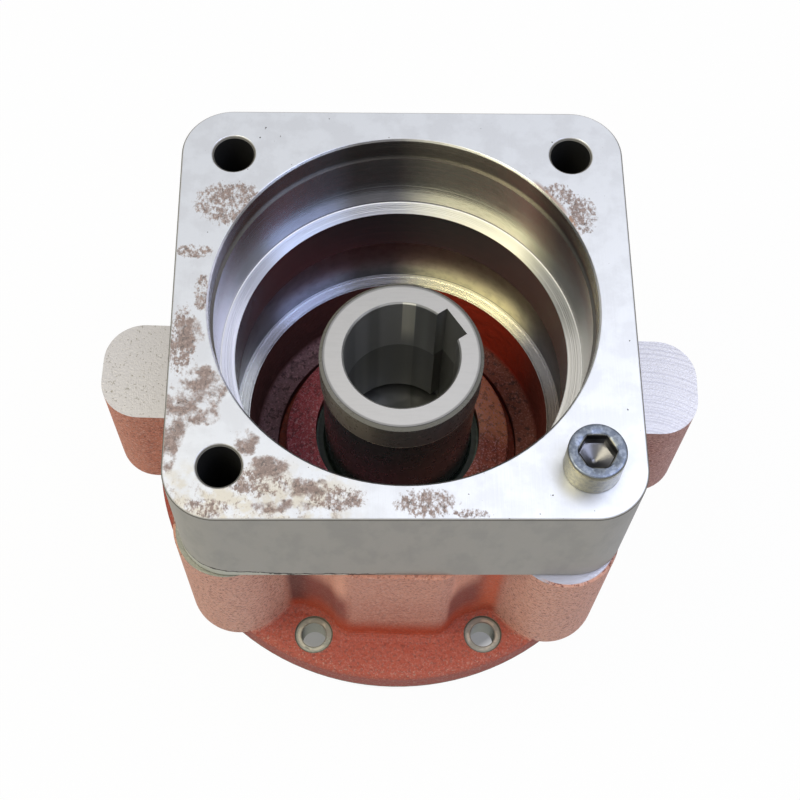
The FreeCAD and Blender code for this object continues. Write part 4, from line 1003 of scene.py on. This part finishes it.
class HOUSING_OT_stage(bpy.types.Operator):
    """Pale floor, soft studio light and the photograph's camera"""
    bl_idname = "housing.stage"
    bl_label = "Stage"

    camera_place = (-12.6325 * MM, -226.3944 * MM, 536.2220 * MM)
    camera_turn_deg = (25.2331, -1.3121, -0.4813)
    floor_size = 16.0
    lamp_target = Vector((0.0, 0.0, 0.05))
    warm_colour = (1.0, 0.92, 0.66)
    cool_colour = (0.62, 0.70, 1.0)

    # Reach of the painted shade round the object's foot, in metres, and how far the open floor and the shade
    # glow
    shade_reach = (67 * MM, 76 * MM)
    shade_glow = 0.14
    open_glow = 0.97
    shade_grey = (0.34, 0.34, 0.34)
    open_grey = (0.86, 0.86, 0.86)
    sky_grey = (0.8, 0.8, 0.8)

    def execute(self, context):
        settings = context.scene.stage_settings
        context.scene.view_settings.view_transform = "Standard"
        self.camera(context.scene, settings.lens)
        self.floor(context.scene)
        self.sky(context.scene, settings.sky)
        self.lamp("overhead", (0.42, 0.22, 1.15), 0.7, settings.key, (1.0, 1.0, 1.0))
        self.lamp("warm_side", (-0.50, -0.20, 1.05), 0.6, settings.warm, self.warm_colour)
        self.lamp("cool_side", (0.52, -0.15, 1.0), 0.6, settings.cool, self.cool_colour)
        return {"FINISHED"}

    def camera(self, scene, lens):
        data = bpy.data.cameras.new("camera")
        data.lens = lens
        data.sensor_width = 36.0
        data.clip_start = 0.01
        camera = bpy.data.objects.new("camera", data)
        scene.collection.objects.link(camera)
        camera.location = self.camera_place
        camera.rotation_euler = Euler([math.radians(angle) for angle in self.camera_turn_deg])
        scene.camera = camera

    def lamp(self, name, place, size, power, colour):
        data = bpy.data.lights.new(name, "AREA")
        data.size = size
        data.energy = power
        data.color = colour
        light = bpy.data.objects.new(name, data)
        bpy.context.scene.collection.objects.link(light)
        light.location = place
        light.rotation_euler = (self.lamp_target - Vector(place)).to_track_quat("-Z", "Y").to_euler()

    def floor(self, scene):
        """White to the camera, with a painted shade close round the object's foot, and it keeps the object's
        shadow.
        """
        half = self.floor_size / 2
        level = FLOOR_LEVEL * MM
        points = [(x * half, y * half, level) for x, y in ((-1, -1), (1, -1), (1, 1), (-1, 1))]
        mesh = bpy.data.meshes.new("floor")
        mesh.from_pydata(points, [], [(0, 1, 2, 3)])
        floor = bpy.data.objects.new("floor", mesh)
        scene.collection.objects.link(floor)
        material = bpy.data.materials.new("pale_floor")
        tree = Tree(material)
        place = tree.node("ShaderNodeTexCoord", output="Object")
        flat = tree.node("ShaderNodeVectorMath", {"operation": "MULTIPLY"}, {0: place, 1: (1.0, 1.0, 0.0)})
        reach = tree.node("ShaderNodeVectorMath", {"operation": "LENGTH"}, {0: flat}, "Value")
        near, far = self.shade_reach
        away = tree.node("ShaderNodeMapRange", None, {"Value": reach, "From Min": near, "From Max": far})
        shade = tree.node("ShaderNodeBsdfDiffuse", None, {"Color": self.shade_grey})
        pale = tree.node("ShaderNodeBsdfDiffuse", None, {"Color": self.open_grey})
        glow = tree.node("ShaderNodeEmission")
        share = away * (self.open_glow - self.shade_glow) + self.shade_glow
        share = share * tree.ray("Camera").most(tree.ray("Transmission"))
        surface = tree.blend(tree.blend(shade, pale, away), glow, share)
        tree.node("ShaderNodeOutputMaterial", None, {"Surface": surface})
        mesh.materials.append(material)

    def sky(self, scene, strength):
        """Soft grey light, a plain grey in reflections, and white behind the object."""
        world = bpy.data.worlds.new("studio")
        scene.world = world
        tree = Tree(world)
        soft = tree.node("ShaderNodeBackground", None, {"Color": self.sky_grey, "Strength": strength})
        mirrored = tree.node("ShaderNodeBackground", None, {"Color": self.sky_grey})
        white = tree.node("ShaderNodeBackground", None, {"Color": (1.0, 1.0, 1.0)})
        light = tree.blend(soft, mirrored, tree.ray("Glossy").most(tree.ray("Transmission")))
        light = tree.blend(light, white, tree.ray("Camera"))
        tree.node("ShaderNodeOutputWorld", None, {"Surface": light})


class HOUSING_PT_panel(bpy.types.Panel):
    """Buttons of the steps and their settings"""
    bl_idname = "HOUSING_PT_panel"
    bl_label = "Motor drive housing"
    bl_space_type = "VIEW_3D"
    bl_region_type = "UI"
    bl_category = "Housing"

    def draw(self, context):
        for operator in OPERATORS:
            self.layout.operator(operator.bl_idname)
        for name in SETTINGS:
            group = getattr(context.scene, name)
            for key in group.bl_rna.properties.keys():
                if key not in ("rna_type", "name"):
                    self.layout.prop(group, key)


OPERATORS = (
    HOUSING_OT_motor_flange,
    HOUSING_OT_motor_screw,
    HOUSING_OT_casting,
    HOUSING_OT_shaft,
    HOUSING_OT_seals,
    HOUSING_OT_bearings,
    HOUSING_OT_end_cover,
    HOUSING_OT_stage,
)
SETTINGS = {
    "block_settings": BlockSettings,
    "screw_settings": ScrewSettings,
    "casting_settings": CastingSettings,
    "stage_settings": StageSettings,
}
CLASSES = (*SETTINGS.values(), *OPERATORS, HOUSING_PT_panel)


def register():
    for item in CLASSES:
        bpy.utils.register_class(item)
    for name, group in SETTINGS.items():
        setattr(bpy.types.Scene, name, PointerProperty(type=group))


def unregister():
    for name in SETTINGS:
        delattr(bpy.types.Scene, name)
    for item in reversed(CLASSES):
        bpy.utils.unregister_class(item)


def main():
    register()
    for operator in OPERATORS:
        group, name = operator.bl_idname.split(".")
        getattr(getattr(bpy.ops, group), name)()


if __name__ == "__main__":
    main()
